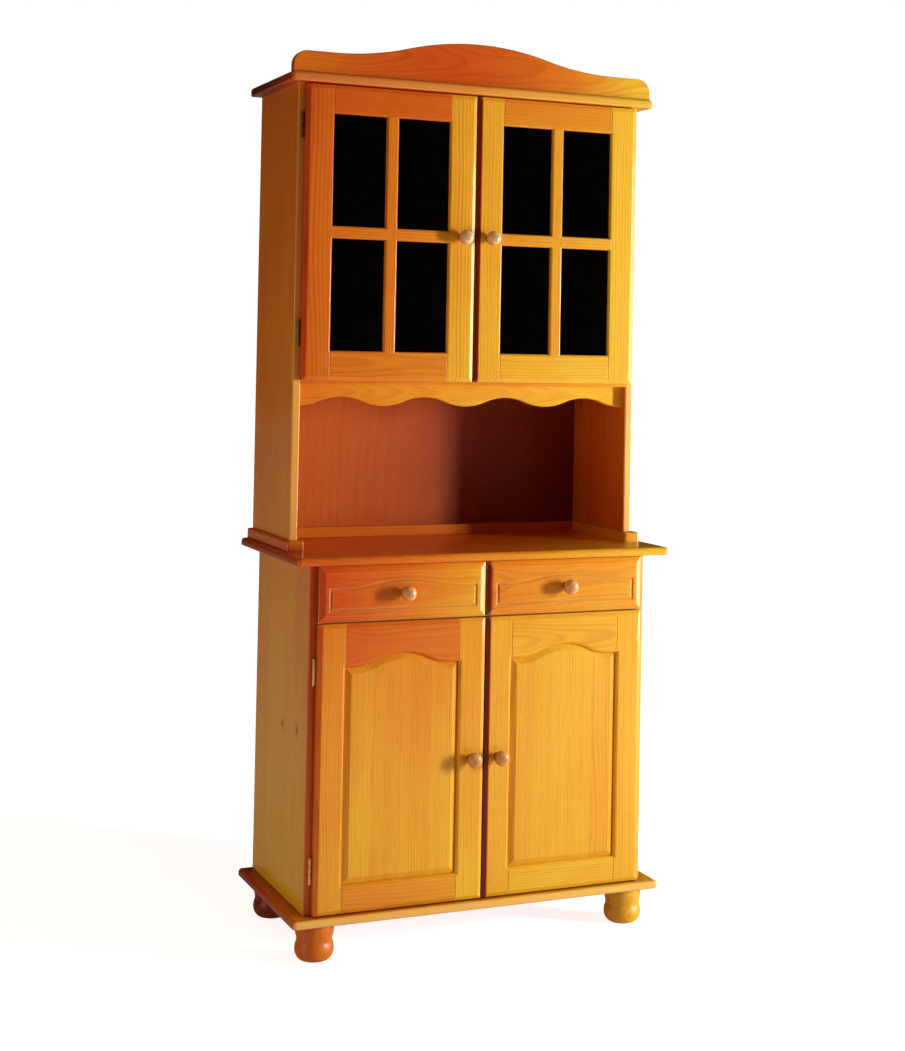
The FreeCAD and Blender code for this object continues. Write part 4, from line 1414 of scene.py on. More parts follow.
def merged(shapes: list[Mesh]) -> Mesh:
    """Puts several meshes into one.

    Args:
        shapes: the meshes, which are freed.

    Returns:
        The one mesh.
    """
    whole = bmesh.new()
    for shape in shapes:
        mesh = bpy.data.meshes.new("part")
        shape.to_mesh(mesh)
        shape.free()
        whole.from_mesh(mesh)
        bpy.data.meshes.remove(mesh)
    return whole


def stacked(rings: list[list[Vector]]) -> Mesh:
    """Skins rings of as many points each and closes both ends.

    Args:
        rings: the rings, from one end to the other.

    Returns:
        The mesh.
    """
    shape = bmesh.new()
    corners = [[shape.verts.new(point) for point in ring] for ring in rings]
    for lower, upper in zip(corners, corners[1:]):
        for side in range(len(lower)):
            shape.faces.new([lower[side - 1], lower[side], upper[side], upper[side - 1]])
    shape.faces.new(corners[0])
    shape.faces.new(corners[-1])
    return shape


@dataclass(frozen=True)
class Spot:
    """A place on a surface with directions along it and away from it.

    Attributes:
        origin: the place.
        across: one direction along the surface.
        up: the other direction along it.
        out: the direction away from it.
    """

    origin: Vector
    across: Vector
    up: Vector
    out: Vector

    def at(self, wide: float, high: float, proud: float = 0.0) -> Vector:
        """Gives the point that lies so far across, up and out."""
        return self.origin + self.across * wide + self.up * high + self.out * proud

    def moved(self, wide: float, high: float, proud: float = 0.0) -> "Spot":
        """Gives the same directions at another point."""
        return Spot(self.at(wide, high, proud), self.across, self.up, self.out)

    def plate(self, wide: float, high: float, thick: float, corner: float,
              near_corner: float = CUT_CORNER, chamfer: float = CUT_CORNER) -> Mesh:
        """Cuts a plate with rounded corners and a broken front edge.

        Args:
            wide: its size across.
            high: its size upwards.
            thick: its thickness.
            corner: the radius of the two corners away from the origin.
            near_corner: the radius of the two corners near the origin.
            chamfer: the width of the broken edge.

        Returns:
            The mesh.
        """
        def outline(inset: float) -> list[Pair]:
            """Gives the plate's outline, drawn in by an inset."""
            turns = ((wide, 0.0, corner, -90.0), (wide, high, corner, 0.0), (0.0, high, near_corner, 90.0),
                     (0.0, 0.0, near_corner, 180.0))
            line = []
            for x, z, radius, start in turns:
                middle = (x - radius if x else radius, z - radius if z else radius)
                line += arc(middle, max(radius - inset, LEAST_RADIUS), start, start + 90.0, 5)
            return line

        return stacked([[self.at(*point, proud) for point in outline(inset)]
                        for inset, proud in ((0.0, 0.0), (0.0, thick - chamfer), (chamfer, thick))])


@dataclass(frozen=True)
class Screw:
    """A screw head with a cross slot.

    Attributes:
        radius: the radius of the head.
        height: how far it stands proud.
        slot_share: half the width of the slot, as a share of the radius.
        floor_share: how high the slot's floor is, as a share of the height.
        shoulder_share: how far up from the floor the head is upright.
        crown_share: the radius of its crown, as a share of its radius.
        turn: how far the cross is turned, in degrees.
    """

    radius: float = 0.0026
    height: float = 0.0006
    slot_share: float = 0.16
    floor_share: float = 0.35
    shoulder_share: float = 0.55
    crown_share: float = 0.80
    turn: float = 20.0

    def driven(self, spot: Spot) -> list[Mesh]:
        """Drives the screw in.

        Args:
            spot: where its head sits.

        Returns:
            The meshes of the head: a floor and four quarters.
        """
        slot, floor = self.radius * self.slot_share, self.height * self.floor_share
        disc = [(0.0, 0.0), (self.radius, 0.0), (self.radius, floor), (0.0, floor)]
        parts = [turned(disc, spot.origin, spot.out, 32)]
        rims = ((0.0, self.radius), (self.shoulder_share, self.radius), (1.0, self.radius * self.crown_share))
        for quarter in range(4):
            turn = Matrix.Rotation(math.radians(90.0 * quarter + self.turn), 2)
            rings = []
            for share, rim in rims:
                start = math.degrees(math.asin(slot / rim))
                line = [(slot, slot)] + arc((0.0, 0.0), rim, start, 90.0 - start, 8)
                proud = floor + (self.height - floor) * share
                rings.append([spot.at(*(turn @ Vector(point)), proud) for point in line])
            parts.append(stacked(rings))
        return parts


def turned(profile: list[Pair], foot: Vector, axis: Vector, segments: int = 72) -> Mesh:
    """Turns a profile about an axis.

    Args:
        profile: distances from the axis and heights along it, from one end on the axis to the other.
        foot: the point on the axis at height 0.
        axis: the direction of the axis.
        segments: how many facets go round.

    Returns:
        The mesh.
    """
    shape = bmesh.new()
    turn = axis.normalized().to_track_quat("Z", "Y")
    angles = [math.tau * side / segments for side in range(segments)]
    rings = []
    for radius, height in profile:
        if radius < ON_AXIS:
            points = [Vector((0.0, 0.0, height))]
        else:
            points = [Vector((radius * math.cos(angle), radius * math.sin(angle), height))
                      for angle in angles]
        rings.append([shape.verts.new(foot + turn @ point) for point in points])
    for lower, upper in zip(rings, rings[1:]):
        for side in range(segments):
            corners = [lower[side % len(lower)], lower[(side + 1) % len(lower)],
                       upper[(side + 1) % len(upper)], upper[side % len(upper)]]
            shape.faces.new(list(dict.fromkeys(corners)))
    return shape


@dataclass
class TurnedKnob:
    """A turned knob: a foot disc, a waisted neck and a ball with a slightly flattened crown.

    Attributes:
        ball_radius: the ball's radius.
        ball_start: where the ball's curve starts, in degrees below its widest place.
        crown_radius: the radius of its flattened crown.
        neck_radius: the narrowest part of the neck.
        neck_flares: how much wider the neck is at its foot and at the ball.
        neck_rise: how far over the disc its narrowest place lies.
        neck_gap: how far over the disc the neck starts.
        neck_share: how far under the ball's middle it ends, as a share of the ball's radius.
        disc_radius: the foot disc's radius.
        disc_height: how thick the foot disc is.
        disc_round: the radius of its rounded rim.
        tones: how much golder than its tone its left and right ends are, a painted light on its side turned
            to the lamp.
        shade: how much darker its foot is than its crown, a painted shade about its neck.
        ring: the spacing of its growth rings.
        gloss: the roughness of its varnish.
    """

    ball_radius: float = 0.0165
    ball_start: float = 63.0
    crown_radius: float = 0.0075
    neck_radius: float = 0.0064
    neck_flares: Pair = (0.0008, 0.0010)
    neck_rise: float = 0.0030
    neck_gap: float = 0.0001
    neck_share: float = 0.92
    disc_radius: float = 0.0090
    disc_height: float = 0.0026
    disc_round: float = 0.0009
    tones: Pair = (0.10, 0.40)
    shade: float = 1.80
    ring: float = 0.0026
    gloss: float = 0.16

    def profile(self, reach: float) -> list[Pair]:
        """The knob's outline from its foot to its crown.

        Args:
            reach: how far it stands out.

        Returns:
            Distances from the axis and heights.
        """
        middle = reach - self.ball_radius
        rim = (self.disc_radius - self.disc_round, self.disc_height - self.disc_round)
        disc = [(0.0, 0.0), (self.disc_radius, 0.0)] + arc(rim, self.disc_round, 0.0, 90.0, 5)
        low_flare, high_flare = self.neck_flares
        neck = flowing([(self.neck_radius + low_flare, self.disc_height + self.neck_gap),
                        (self.neck_radius, self.disc_height + self.neck_rise),
                        (self.neck_radius + high_flare, middle - self.ball_radius * self.neck_share)], 6)
        ball = arc((0.0, middle), self.ball_radius, -self.ball_start, 90.0, 34)
        return disc + neck + [point for point in ball if point[0] > self.crown_radius] + [(0.0, reach)]

    def build(self, node: str, body: str, tone: float, seed: float) -> None:
        """Makes the knob that stands for a packed one.

        Args:
            node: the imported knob's name.
            body: the body that it moves with.
            tone: its tone, from reddish to pale.
            seed: a number of its own.
        """
        low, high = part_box(node)
        foot = Vector(((low.x + high.x) / 2, high.y, (low.z + high.z) / 2))
        left, right = self.tones
        # painted light and shade: golder toward the right, darker toward the foot and neck
        hue = Tone(tone + left, tone + right, back=-self.shade)
        finish = WoodFinish(Lay.DEEP_SIDE, hue, seed, Wood.TURNED, Figure.CATHEDRAL,
                            ring=self.ring, gloss=self.gloss)
        shape = turned(self.profile(high.y - low.y), foot, FORWARD)
        piece = new_piece(f"turned_{node}", shape, finish.material(f"wood_{node}", low, high))
        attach(piece, body)
        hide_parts(node)
        log.info("turned %s", node)


@dataclass
class TurnedFoot:
    """A turned bun foot: a rounded ring, a waist and a bulge on a flat sole.

    Attributes:
        outline: distances from the axis and heights, from the sole to the shoulder under the base board.
        tenon_radius: the tenon's radius.
        tenon_chamfer: the width of the broken edge at the tenon's end.
        tones: how much golder than its tone its left and right ends are, a painted light on its side turned
            to the lamp.
        ring: the spacing of its growth rings.
        gloss: the roughness of its varnish.
    """

    outline: tuple[Pair, ...] = (
        (0.0240, 0.0), (0.0310, 0.0022), (0.0374, 0.0085), (0.0409, 0.0170), (0.0417, 0.0250),
        (0.0406, 0.0325), (0.0386, 0.0385), (0.0379, 0.0430), (0.0386, 0.0490), (0.0404, 0.0560),
        (0.0411, 0.0630), (0.0409, 0.0710), (0.0400, 0.0776), (0.0392, 0.0790))
    tenon_radius: float = 0.012
    tenon_chamfer: float = 0.001
    tones: Pair = (-0.05, 0.20)
    ring: float = 0.0046
    gloss: float = 0.38

    def build(self, node: str, tone: float, seed: float) -> None:
        """Makes the foot that stands for a packed one.

        Args:
            node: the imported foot's name.
            tone: its tone, from reddish to golden.
            seed: a number of its own.
        """
        low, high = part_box(node)
        foot = Vector(((low.x + high.x) / 2, (low.y + high.y) / 2, low.z))
        line = flowing(list(self.outline), 5)
        shoulder = self.outline[-1][1]
        tenon = [(self.tenon_radius, shoulder), (self.tenon_radius, high.z - self.tenon_chamfer),
                 (self.tenon_radius - self.tenon_chamfer, high.z), (0.0, high.z)]
        left, right = self.tones
        # painted light: golder toward the right
        finish = WoodFinish(Lay.UPRIGHT_FRONT, Tone(tone + left, tone + right), seed, figure=Figure.CATHEDRAL,
                            ring=self.ring, gloss=self.gloss)
        shape = turned([(0.0, 0.0)] + line + tenon, foot, UP, 96)
        piece = new_piece(f"turned_{node}", shape, finish.material(f"wood_{node}", low, high))
        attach(piece, "cabinet")
        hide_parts(node)
        log.info("turned %s", node)


@dataclass
class Base:
    """The four feet and the board on them.

    Attributes:
        foot: how every foot is turned.
        tones: the tone of each foot.
        seed: the first foot's own number.
        seed_step: how far apart the feet's numbers are.
        board: the finish of the board.
    """

    foot: TurnedFoot = field(default_factory=TurnedFoot)
    # the rear left foot's tone under 0 paints its shade, and the right feet are painted golder where the lamp
    # falls
    tones: dict[str, float] = field(default_factory=lambda: {
        "foot_front_left": 0.36, "foot_front_right": 0.76, "foot_rear_left": -0.60, "foot_rear_right": 0.60})
    seed: float = 61.3
    seed_step: float = 3.7
    # the darker back paints shade on the top, edge a painted highlight on the nose, and nook painted contact
    # shade
    board: WoodFinish = WoodFinish(Lay.LEVEL_TOP, Tone(0.55, 1.05, back=-1.05, edge=0.80), 11.0,
                                   figure=Figure.CATHEDRAL, staves=5, nook=0.035)

    def build(self) -> None:
        """Turns the feet and dresses the board."""
        for number, (node, tone) in enumerate(self.tones.items()):
            self.foot.build(node, tone, self.seed + self.seed_step * number)
        self.board.dress("base_board")


@dataclass
class LowerCase:
    """The cupboard's boards, rails, runners, shelf and worktop.

    Attributes:
        boards: the finish of every varnished board.
        bare: how the grain of every unvarnished piece lies.
        bare_tone: the tone of those.
        bare_gloss: their roughness.
        bare_seed: the first one's own number.
    """

    boards: dict[str, WoodFinish] = field(default_factory=lambda: {
        # a darker top and front strip paint the shade under the worktop and the shadow the doors cast on the
        # front edge
        "lower_side_left": WoodFinish(Lay.UPRIGHT_SIDE, Tone(1.00, 1.00, rise=-0.32, front=-0.66), 21.0,
                                      staves=4, knots=0.10),
        # edge: a painted highlight along the front edge
        "lower_side_right": WoodFinish(Lay.UPRIGHT_SIDE, Tone(0.80, 0.95, edge=0.45), 22.4,
                                       staves=4, knots=0.10),
        # the darker back paints shade on the rear of the worktop
        "worktop": WoodFinish(Lay.LEVEL_TOP, Tone(0.16, 1.05, back=-0.62), 23.9, figure=Figure.CATHEDRAL,
                              staves=5, ring=0.0062),
        "lower_back_panel": WoodFinish(Lay.UPRIGHT_FRONT, Tone(0.3, 0.5), 24.6, Wood.PLYWOOD, Figure.PEELED,
                                       ring=0.017, knots=0.05, gloss=0.30),
        "lower_shelf": WoodFinish(Lay.LEVEL_TOP, Tone(0.5, 0.7), 25.1, staves=4)})
    bare: dict[str, Lay] = field(default_factory=lambda: {
        "case_rails": Lay.LEVEL_TOP, "drawer_runners": Lay.DEEP_TOP, "drawer_divider": Lay.DEEP_SIDE,
        "shelf_cleats": Lay.DEEP_TOP})
    bare_tone: Tone = Tone(0.4, 0.6)
    bare_gloss: float = 0.35
    bare_seed: float = 31.7

    def build(self) -> None:
        """Dresses every board of the case."""
        for node, finish in self.boards.items():
            finish.dress(node)
        for number, (node, lay) in enumerate(self.bare.items()):
            finish = WoodFinish(lay, self.bare_tone, self.bare_seed + number, Wood.PLAIN,
                                gloss=self.bare_gloss)
            finish.dress(node)


@dataclass
class Hutch:
    """The hutch's runners, sides, back, floor, valance, shelf, cornice and crest.

    Attributes:
        boards: the finish of every board.
    """

    boards: dict[str, WoodFinish] = field(default_factory=lambda: {
        # the darker top paints shade under the cornice, and edge a painted highlight on the front edge
        "hutch_side_left": WoodFinish(Lay.UPRIGHT_SIDE, Tone(0.68, 0.70, rise=-0.22, edge=0.40), 41.2,
                                      staves=3, knots=0.08),
        # edge: a painted highlight along the front edge
        "hutch_side_right": WoodFinish(Lay.UPRIGHT_SIDE, Tone(0.34, 0.95, edge=0.90), 42.9,
                                       staves=3, knots=0.08),
        # the low tone and nook paint the shade on the runner just above the worktop
        "hutch_runner_left": WoodFinish(Lay.DEEP_SIDE, Tone(0.15, 0.25), 43.3, nook=0.030, ends=0.15),
        "hutch_runner_right": WoodFinish(Lay.DEEP_SIDE, Tone(0.70, 0.95), 44.8, ends=0.0),
        "hutch_back_strip": WoodFinish(Lay.LEVEL_FRONT, Tone(0.45, 0.25), 45.5),
        # the tone falling under 0 paints the shadow of the right side on the back panel's right half
        "hutch_back_panel": WoodFinish(Lay.UPRIGHT_FRONT, Tone(0.92, -0.42), 46.6, Wood.PLYWOOD,
                                       Figure.PEELED, ring=0.019, gloss=0.30),
        "hutch_floor": WoodFinish(Lay.LEVEL_TOP, Tone(0.40, 0.85), 47.4, staves=3),
        "hutch_shelf": WoodFinish(Lay.LEVEL_TOP, Tone(0.40, 0.70), 48.2, staves=3),
        "valance": WoodFinish(Lay.LEVEL_FRONT, Tone(0.48, 1.0), 49.7, figure=Figure.CATHEDRAL),
        # the low left tone and darker back paint shade on the left end and top, and edge a painted highlight
        # on the nose
        "cornice": WoodFinish(Lay.LEVEL_TOP, Tone(-0.10, 0.95, back=-0.90, edge=0.25), 50.1, staves=3),
        "crest": WoodFinish(Lay.LEVEL_FRONT, Tone(0.40, 1.10, middle=-0.62), 51.8, figure=Figure.CATHEDRAL,
                            ring=0.0058)})

    def build(self) -> None:
        """Dresses every board of the hutch."""
        for node, finish in self.boards.items():
            finish.dress(node)


@dataclass
class LowerDoor:
    """A panelled door of the cupboard.

    Attributes:
        side: left or right.
        seed: a number of its own.
        stiles: the tone of its stiles.
        top_rail: the tone of its top rail.
        bottom_rail: the tone of its bottom rail.
        panel: the tone of its panel.
        knob: how its knob is turned.
        knob_tone: the knob's tone.
    """

    side: str
    seed: float
    stiles: Tone
    top_rail: Tone
    bottom_rail: Tone
    panel: Tone
    knob: TurnedKnob = field(default_factory=TurnedKnob)
    knob_tone: float = 0.30

    def build(self) -> None:
        """Dresses the door's boards and turns its knob."""
        door, seed = f"lower_door_{self.side}", self.seed
        boards = {
            "stiles": WoodFinish(Lay.UPRIGHT_FRONT, self.stiles, seed, staves=6),
            "top_rail": WoodFinish(Lay.LEVEL_FRONT, self.top_rail, seed + 1.9, figure=Figure.CATHEDRAL),
            "bottom_rail": WoodFinish(Lay.LEVEL_FRONT, self.bottom_rail, seed + 3.1),
            # the panel's grooves are darker, partly stain and partly painted shade
            "panel": WoodFinish(Lay.UPRIGHT_FRONT, self.panel, seed + 4.7, staves=4, knots=0.10, groove_stain_and_shade=1.0)}
        for board, finish in boards.items():
            finish.dress(f"{door}_{board}")
        self.knob.build(f"{door}_knob", door, self.knob_tone, seed + 6.2)


@dataclass
class GlazedDoor:
    """A glazed door of the hutch.

    Attributes:
        side: left or right.
        seed: a number of its own.
        stiles: the tone of its stiles.
        rails: the tone of its rails.
        bars: the tone of its glazing bars and beads.
        glass: the material of its pane.
        figure: how its stiles were cut.
        bar_half: half the width of a glazing bar.
        knob: how its knob is turned.
        knob_tone: the knob's tone.
    """

    side: str
    seed: float
    stiles: Tone
    rails: Tone
    bars: Tone
    glass: Material
    figure: Figure
    bar_half: float = 0.0135
    knob: TurnedKnob = field(default_factory=TurnedKnob)
    knob_tone: float = 0.75

    def build(self) -> None:
        """Dresses the door's boards and glass and turns its knob."""
        door, seed = f"hutch_door_{self.side}", self.seed
        boards = {
            "stiles": WoodFinish(Lay.UPRIGHT_FRONT, self.stiles, seed, figure=self.figure, staves=6,
                                 ring=0.0072),
            "rails": WoodFinish(Lay.LEVEL_FRONT, self.rails, seed + 1.9, staves=2),
            "muntins": WoodFinish(Lay.LEVEL_FRONT, self.bars, seed + 3.3, cross=self.bar_half),
            "beads": WoodFinish(Lay.UPRIGHT_FRONT, self.bars, seed + 5.3)}
        for board, finish in boards.items():
            finish.dress(f"{door}_{board}")
        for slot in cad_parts[f"{door}_glass"].material_slots:
            slot.material = self.glass
        self.knob.build(f"{door}_knob", door, self.knob_tone, seed + 6.2)


@dataclass
class Drawer:
    """A drawer with a bevelled front.

    Attributes:
        side: left or right.
        seed: a number of its own.
        tone: the tone of its front.
        box_tone: the tone of its unvarnished box.
        knob: how its knob is turned.
        knob_tone: the knob's tone.
    """

    side: str
    seed: float
    tone: Tone
    box_tone: Tone = Tone(0.5, 0.6)
    knob: TurnedKnob = field(default_factory=TurnedKnob)
    knob_tone: float = 0.35

    def build(self) -> None:
        """Dresses the front and the box and turns the knob."""
        drawer, seed = f"drawer_{self.side}", self.seed
        boards = {
            # rims paler, partly wear and partly painted highlight; groove darker, partly stain and partly
            # painted shade
            "front": WoodFinish(Lay.LEVEL_FRONT, self.tone, seed, figure=Figure.CATHEDRAL, edge_wear_and_highlight=1.0,
                                soft=0.0030, groove_stain_and_shade=0.45),
            "box": WoodFinish(Lay.DEEP_SIDE, self.box_tone, seed + 2.3, Wood.PLAIN, gloss=0.4)}
        for board, finish in boards.items():
            finish.dress(f"{drawer}_{board}")
        self.knob.build(f"{drawer}_knob", drawer, self.knob_tone, seed + 6.2)


@dataclass(frozen=True)
class Doorway:
    """Where a door hangs, in metres from the middle of the dresser.

    Attributes:
        hand: -1 on the left door, 1 on the right one.
        outer: how far aside the door's outer edge lies.
        inner: how far aside the inner face of the case's side lies.
        back: where the back of the door lies.
        case_front: where the front of the case lies.
    """

    hand: float
    outer: float
    inner: float
    back: float
    case_front: float


@dataclass(frozen=True)
class Hinge:
    """A cranked hinge with a rolled knuckle in three lengths, a pin and two leaves.

    Attributes:
        length: its whole length.
        knuckle: the radius of the knuckle.
        rim: the width of the broken edge at the ends of its lengths.
        clearance: the gap between the knuckle and the door's edge.
        lift: the gap between the knuckle and the case's front.
        leaf: how thick the leaves are.
        reach: how far the door's leaf reaches over its back.
        wrap: how far the case's leaf reaches along the inside of the side.
        corner: the radius of the leaves' corners.
        bend: the radius of the corners where the case's leaf is bent.
        door_root: how far past the pin the door's tongue reaches.
        case_root: how far past the flat leaf's edge its tongues reach.
        free_share: how far from the pin that edge is, as a share of the knuckle's radius.
        screw: how every screw head is made.
        screw_edge: how far a screw lies from the end of a leaf.
        pin: the radius of the pin.
        pin_head: the radius of its head.
        pin_rise: how high its head is.
        dome_share: how much of that is domed.
    """

    length: float = 0.056
    knuckle: float = 0.0035
    rim: float = 0.0004
    clearance: float = 0.0005
    lift: float = 0.0004
    leaf: float = 0.0012
    reach: float = 0.020
    wrap: float = 0.018
    corner: float = 0.004
    bend: float = 0.0003
    door_root: float = 0.001
    case_root: float = 0.0005
    free_share: float = 0.8
    screw: Screw = Screw()
    screw_edge: float = 0.008
    pin: float = 0.0015
    pin_head: float = 0.0023
    pin_rise: float = 0.0015
    dome_share: float = 0.65

    def axis(self, door: Doorway) -> Pair:
        """Gives where the pin stands, from left to right and from front to back.

        Args:
            door: where the door hangs.

        Returns:
            The two distances.
        """
        aside = door.hand * (door.outer + self.knuckle + self.clearance)
        return aside, door.case_front - self.knuckle - self.lift

    def barrel(self, axis: Pair, foot: float, height: float) -> Mesh:
        """Rolls one length of the knuckle.

        Args:
            axis: where the pin stands.
            foot: where the length starts.
            height: how long it is.

        Returns:
            The mesh.
        """
        profile = [(0.0, 0.0), (self.knuckle - self.rim, 0.0), (self.knuckle, self.rim),
                   (self.knuckle, height - self.rim), (self.knuckle - self.rim, height), (0.0, height)]
        return turned(profile, Vector((*axis, foot)), UP, 28)

    def screws(self, leaf: Spot, wide: float) -> list[Mesh]:
        """Drives a screw in near each end of a leaf.

        Args:
            leaf: the leaf's lower corner.
            wide: how far across the leaf they stand.

        Returns:
            The meshes.
        """
        parts = []
        for high in (self.screw_edge, self.length - self.screw_edge):
            parts += self.screw.driven(leaf.moved(wide, high, self.leaf))
        return parts

    def door_half(self, door: Doorway, middle: float) -> list[Mesh]:
        """Makes the half that is screwed to the door.

        Args:
            door: where the door hangs.
            middle: the height of the hinge's middle.

        Returns:
            The meshes.
        """
        low, third = middle - self.length / 2, self.length / 3
        slack = self.clearance / 2
        axis = self.axis(door)
        aside = abs(axis[0]) - door.outer
        edge = Spot(Vector((door.hand * door.outer, door.back, low)), Vector((-door.hand, 0, 0)), UP, BACK)
        tongue = edge.moved(-aside, third + slack)
        parts = [edge.plate(self.reach, self.length, self.leaf, self.corner),
                 tongue.plate(aside + self.door_root, third - 2 * slack, self.leaf, CUT_CORNER),
                 self.barrel(axis, low + third + slack, third - 2 * slack)]
        return parts + self.screws(edge, self.reach - self.screw_edge)

    def case_half(self, door: Doorway, middle: float) -> list[Mesh]:
        """Makes the half that is screwed to the case, with the pin.

        Args:
            door: where the door hangs.
            middle: the height of the hinge's middle.

        Returns:
            The meshes.
        """
        low, third = middle - self.length / 2, self.length / 3
        axis = self.axis(door)
        inwards = Vector((-door.hand, 0, 0))
        front = Spot(Vector((axis[0], door.case_front, low)), inwards, UP, FORWARD)
        inner_corner = Vector((door.hand * door.inner, door.case_front - self.leaf, low))
        inside = Spot(inner_corner, BACK, UP, inwards)
        free = self.knuckle * self.free_share
        flat = front.moved(free, 0.0)
        parts = [flat.plate(abs(axis[0]) - free - door.inner + self.leaf, self.length, self.leaf, self.bend),
                 inside.plate(self.wrap + self.leaf, self.length, self.leaf, self.corner)]
        for foot in (0.0, self.length - third):
            parts.append(front.moved(0.0, foot).plate(free + self.case_root, third, self.leaf, CUT_CORNER))
            parts.append(self.barrel(axis, low + foot, third))
        shank = [(0.0, 0.0), (self.pin, 0.0), (self.pin, self.length), (self.pin_head, self.length)]
        domed = self.pin_rise * self.dome_share
        crown = dome(self.pin_head, self.length + self.pin_rise - domed, domed, 8)
        parts.append(turned(shank + crown, Vector((*axis, low)), UP, 24))
        return parts + self.screws(inside, self.leaf + self.wrap / 2)


class Level(Enum):
    """The two pairs of doors: their name, and how far the hinges' middles lie from foot and head."""

    LOWER = ("lower", 0.091, 0.101)
    HUTCH = ("hutch", 0.101, 0.089)


@dataclass(frozen=True)
class Pole:
    """The steel pole strips in the front of a catch. Shares are of the catch's width and height.

    Attributes:
        inset_share: how far from its side a strip starts.
        rise_shares: how high each strip lies.
        width_share: how wide a strip is.
        height_share: how high a strip is.
        thick: how thick it is, in metres.
        edge: the width of its broken edge.
    """

    inset_share: float = 0.1
    rise_shares: Pair = (0.22, 0.62)
    width_share: float = 0.8
    height_share: float = 0.16
    thick: float = 0.0003
    edge: float = 0.0001


@dataclass
class Hardware:
    """Hinges, strike plates, magnetic catches and the pins of the back panels.

    Attributes:
        hinge: how every hinge is made.
        pole: how every catch's poles are made.
        brass: the finish of the cupboard's hinges, the strike plates and the poles.
        shade_darkened: the finish of the hutch's hinges and of the panel pins, darkened as a painted shade of
            the hutch's hinges.
        plastic: the finish of the catches.
        strike_corner: the radius of a strike plate's corners.
        pin_head: the radius of a panel pin's head.
        pin_dome_share: how high it is, as a share of that.
        pin_step: how far apart the pins stand.
        pin_margin: how far from the panel's sides the outer ones stand.
        board_height: how much of a board's height takes the pins, from its top down.
    """

    hinge: Hinge = Hinge()
    pole: Pole = Pole()
    brass: BrassFinish = BrassFinish()
    # dark brass: a painted shade for the hutch's hinges, which sit in shadow
    shade_darkened: BrassFinish = BrassFinish((0.30, 0.17, 0.07), (0.11, 0.05, 0.02), 0.38)
    plastic: PlasticFinish = PlasticFinish()
    strike_corner: float = 0.002
    pin_head: float = 0.0022
    pin_dome_share: float = 0.3
    pin_step: float = 0.098
    pin_margin: float = 0.03
    board_height: float = 0.018

    def build(self) -> None:
        """Makes the metal parts and dresses the plastic ones."""
        brass, shade_darkened = self.brass.material("hinge_brass"), self.shade_darkened.material("shade_darkened_brass")
        finishes = {Level.LOWER: brass, Level.HUTCH: shade_darkened}
        case_halves = {}
        for level, metal in finishes.items():
            case_halves[level] = []
            for name, hand in (("left", -1.0), ("right", 1.0)):
                case_halves[level] += self._door_fittings(level, name, hand, metal)
        for level, metal in finishes.items():
            piece = new_piece(f"{level.value[0]}_case_hinges", merged(case_halves[level]), metal)
            self._settle(piece, "cabinet", "brass_hardware", "case_hinge_leaves")
        moulded = self.plastic.material("brown_plastic")
        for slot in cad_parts["door_catches"].material_slots:
            slot.material = moulded
        self._poles(brass)
        self._panel_pins(shade_darkened)

    @staticmethod
    def _settle(piece: bpy.types.Object, body: str, slot: str, node: str | None = None) -> None:
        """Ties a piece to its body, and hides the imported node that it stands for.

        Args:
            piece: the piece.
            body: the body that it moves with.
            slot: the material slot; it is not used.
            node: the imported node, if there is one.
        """
        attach(piece, body)
        if node:
            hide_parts(node)
        log.info("made %s", piece.name)

    def _door_fittings(self, level: Level, name: str, hand: float, metal: Material) -> list[Mesh]:
        """Makes one door's hinge halves and strike plate.

        Args:
            level: which pair the door belongs to.
            name: left or right.
            hand: -1 on the left, 1 on the right.
            metal: the hinges' material.

        Returns:
            The halves of the hinges that stay on the case.
        """
        kind, rise, drop = level.value
        door = f"{kind}_door_{name}"
        low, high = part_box(f"{door}_stiles")
        side_low, side_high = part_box(f"{kind}_side_{name}")
        hung = Doorway(hand, outer=max(abs(low.x), abs(high.x)), inner=min(abs(side_low.x), abs(side_high.x)),
                       back=high.y, case_front=side_low.y)
        on_door, on_case = [], []
        for middle in (low.z + rise, high.z - drop):
            on_door += self.hinge.door_half(hung, middle)
            on_case += self.hinge.case_half(hung, middle)
        packed = [vertex.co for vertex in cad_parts[f"{door}_fittings"].data.vertices]
        strike = [point for point in packed if abs(point.x) < hung.outer / 4]
        left, right = min(point.x for point in strike), max(point.x for point in strike)
        foot, head = min(point.z for point in strike), max(point.z for point in strike)
        spot = Spot(Vector((left, high.y, foot)), RIGHT, UP, BACK)
        on_door.append(spot.plate(right - left, head - foot, self.hinge.leaf,
                                  self.strike_corner, self.strike_corner))
        piece = new_piece(f"{door}_hinges_and_strike", merged(on_door), metal)
        self._settle(piece, door, "brass_hardware", f"{door}_fittings")
        return on_case

    def _poles(self, metal: Material) -> None:
        """Sets two steel pole strips into the front of every catch.

        Args:
            metal: their material.
        """
        packed = [vertex.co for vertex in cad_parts["door_catches"].data.vertices]
        shelf = sum(point.z for point in packed) / len(packed)
        shapes = []
        for hand in (-1, 1):
            for upper in (False, True):
                block = [point for point in packed if point.x * hand > 0 and (point.z > shelf) == upper]
                low = Vector(min(point[axis] for point in block) for axis in range(3))
                high = Vector(max(point[axis] for point in block) for axis in range(3))
                wide, tall = high.x - low.x, high.z - low.z
                for share in self.pole.rise_shares:
                    spot = Spot(low, RIGHT, UP, FORWARD).moved(wide * self.pole.inset_share, tall * share)
                    shapes.append(spot.plate(wide * self.pole.width_share, tall * self.pole.height_share,
                                             self.pole.thick, CUT_CORNER, chamfer=self.pole.edge))
        self._settle(new_piece("catch_poles", merged(shapes), metal), "cabinet", "brass_hardware")

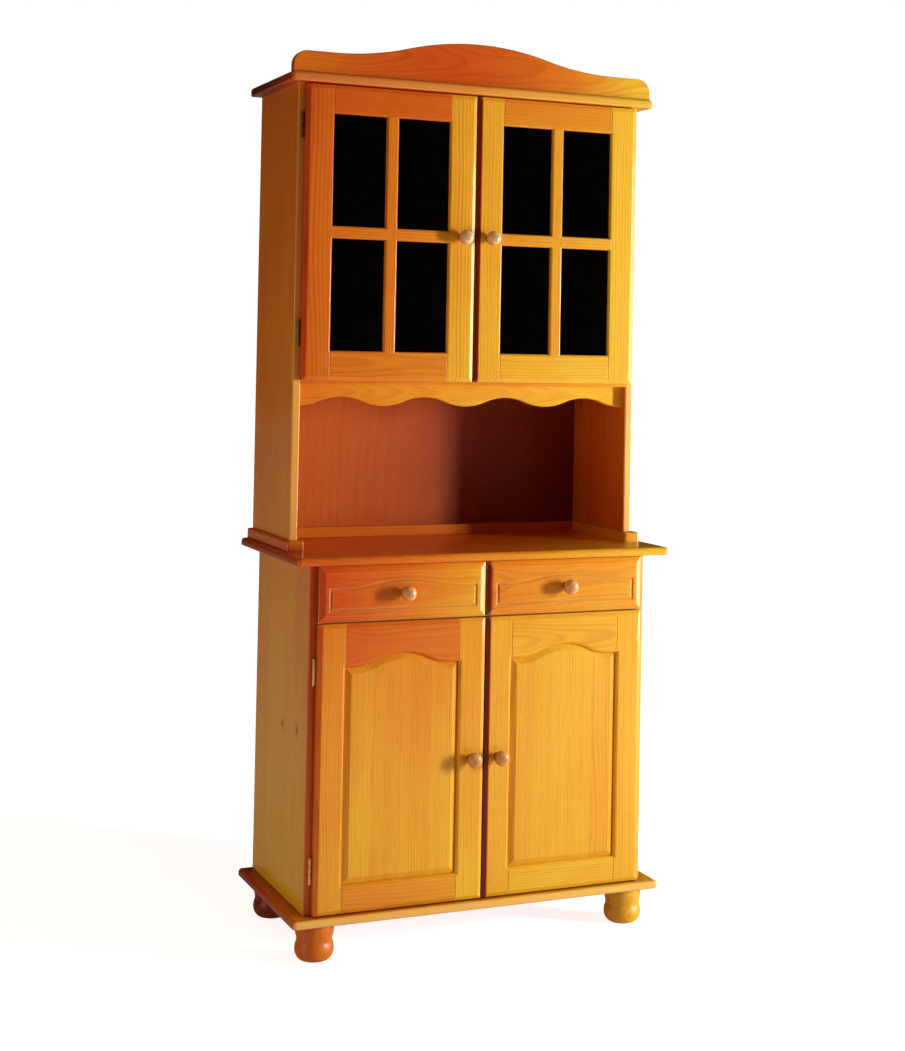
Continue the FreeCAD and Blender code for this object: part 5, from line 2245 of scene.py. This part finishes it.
    def _panel_pins(self, metal: Material) -> None:
        """Drives pins through the thin backs into the boards behind them.

        Args:
            metal: their material.
        """
        shapes = []
        rows = (("hutch_back_panel", "hutch_floor"), ("hutch_back_panel", "hutch_shelf"),
                ("lower_back_panel", "lower_shelf"), ("lower_back_panel", "case_rails"))
        for panel, board in rows:
            low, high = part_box(panel)
            board_low, board_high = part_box(board)
            level = board_high.z - min(board_high.z - board_low.z, self.board_height) / 2
            reach = (high.x - low.x) / 2 - self.pin_margin
            count = round(2 * reach / self.pin_step)
            profile = [(0.0, 0.0)] + dome(self.pin_head, 0.0, self.pin_head * self.pin_dome_share, 5)
            for number in range(count + 1):
                foot = Vector((-reach + 2 * reach * number / count, high.y, level))
                shapes.append(turned(profile, foot, BACK, 14))
        self._settle(new_piece("panel_pins", merged(shapes), metal), "cabinet", "brass_hardware")


def main() -> None:
    """Builds the studio and the dresser."""
    logging.basicConfig(level=logging.INFO, format="%(name)s: %(message)s")
    # the nearly black tint paints the shade of the dark cupboard behind the panes
    glass = GlassFinish().material("shade_tinted_glass")
    assemblies = [
        Studio(), Base(), LowerCase(), Hutch(), Hardware(),
        # brims under 0 paint shade on left-turned edges; the tones and negative rises partly paint the fall
        # of light
        LowerDoor("left", 71.5, stiles=Tone(0.84, 0.90, rise=-0.26, brim=-0.36), top_rail=Tone(0.10, 0.36),
                  bottom_rail=Tone(0.64, 0.78), panel=Tone(0.84, 0.93, rise=-0.20)),
        LowerDoor("right", 83.1, stiles=Tone(0.77, 0.92, brim=-1.60), top_rail=Tone(0.78, 0.84),
                  bottom_rail=Tone(0.84, 0.88), panel=Tone(0.86, 0.90)),
        GlazedDoor("left", 95.7, stiles=Tone(0.32, 1.0, rise=-0.16, brim=-0.40),
                   rails=Tone(0.42, 0.56, rise=-0.38), bars=Tone(0.45, 0.72),
                   glass=glass, figure=Figure.BOLD),
        GlazedDoor("right", 107.9, stiles=Tone(0.88, 1.10, brim=-1.80), rails=Tone(0.92, 0.97, rise=-0.41),
                   bars=Tone(0.76, 0.90), glass=glass, figure=Figure.STRIPED),
        Drawer("left", 119.3, Tone(-0.06, 0.84)),
        Drawer("right", 131.6, Tone(0.58, 0.82, brim=-1.40)),
    ]
    for assembly in assemblies:
        assembly.build()


if __name__ == "__main__":
    main()
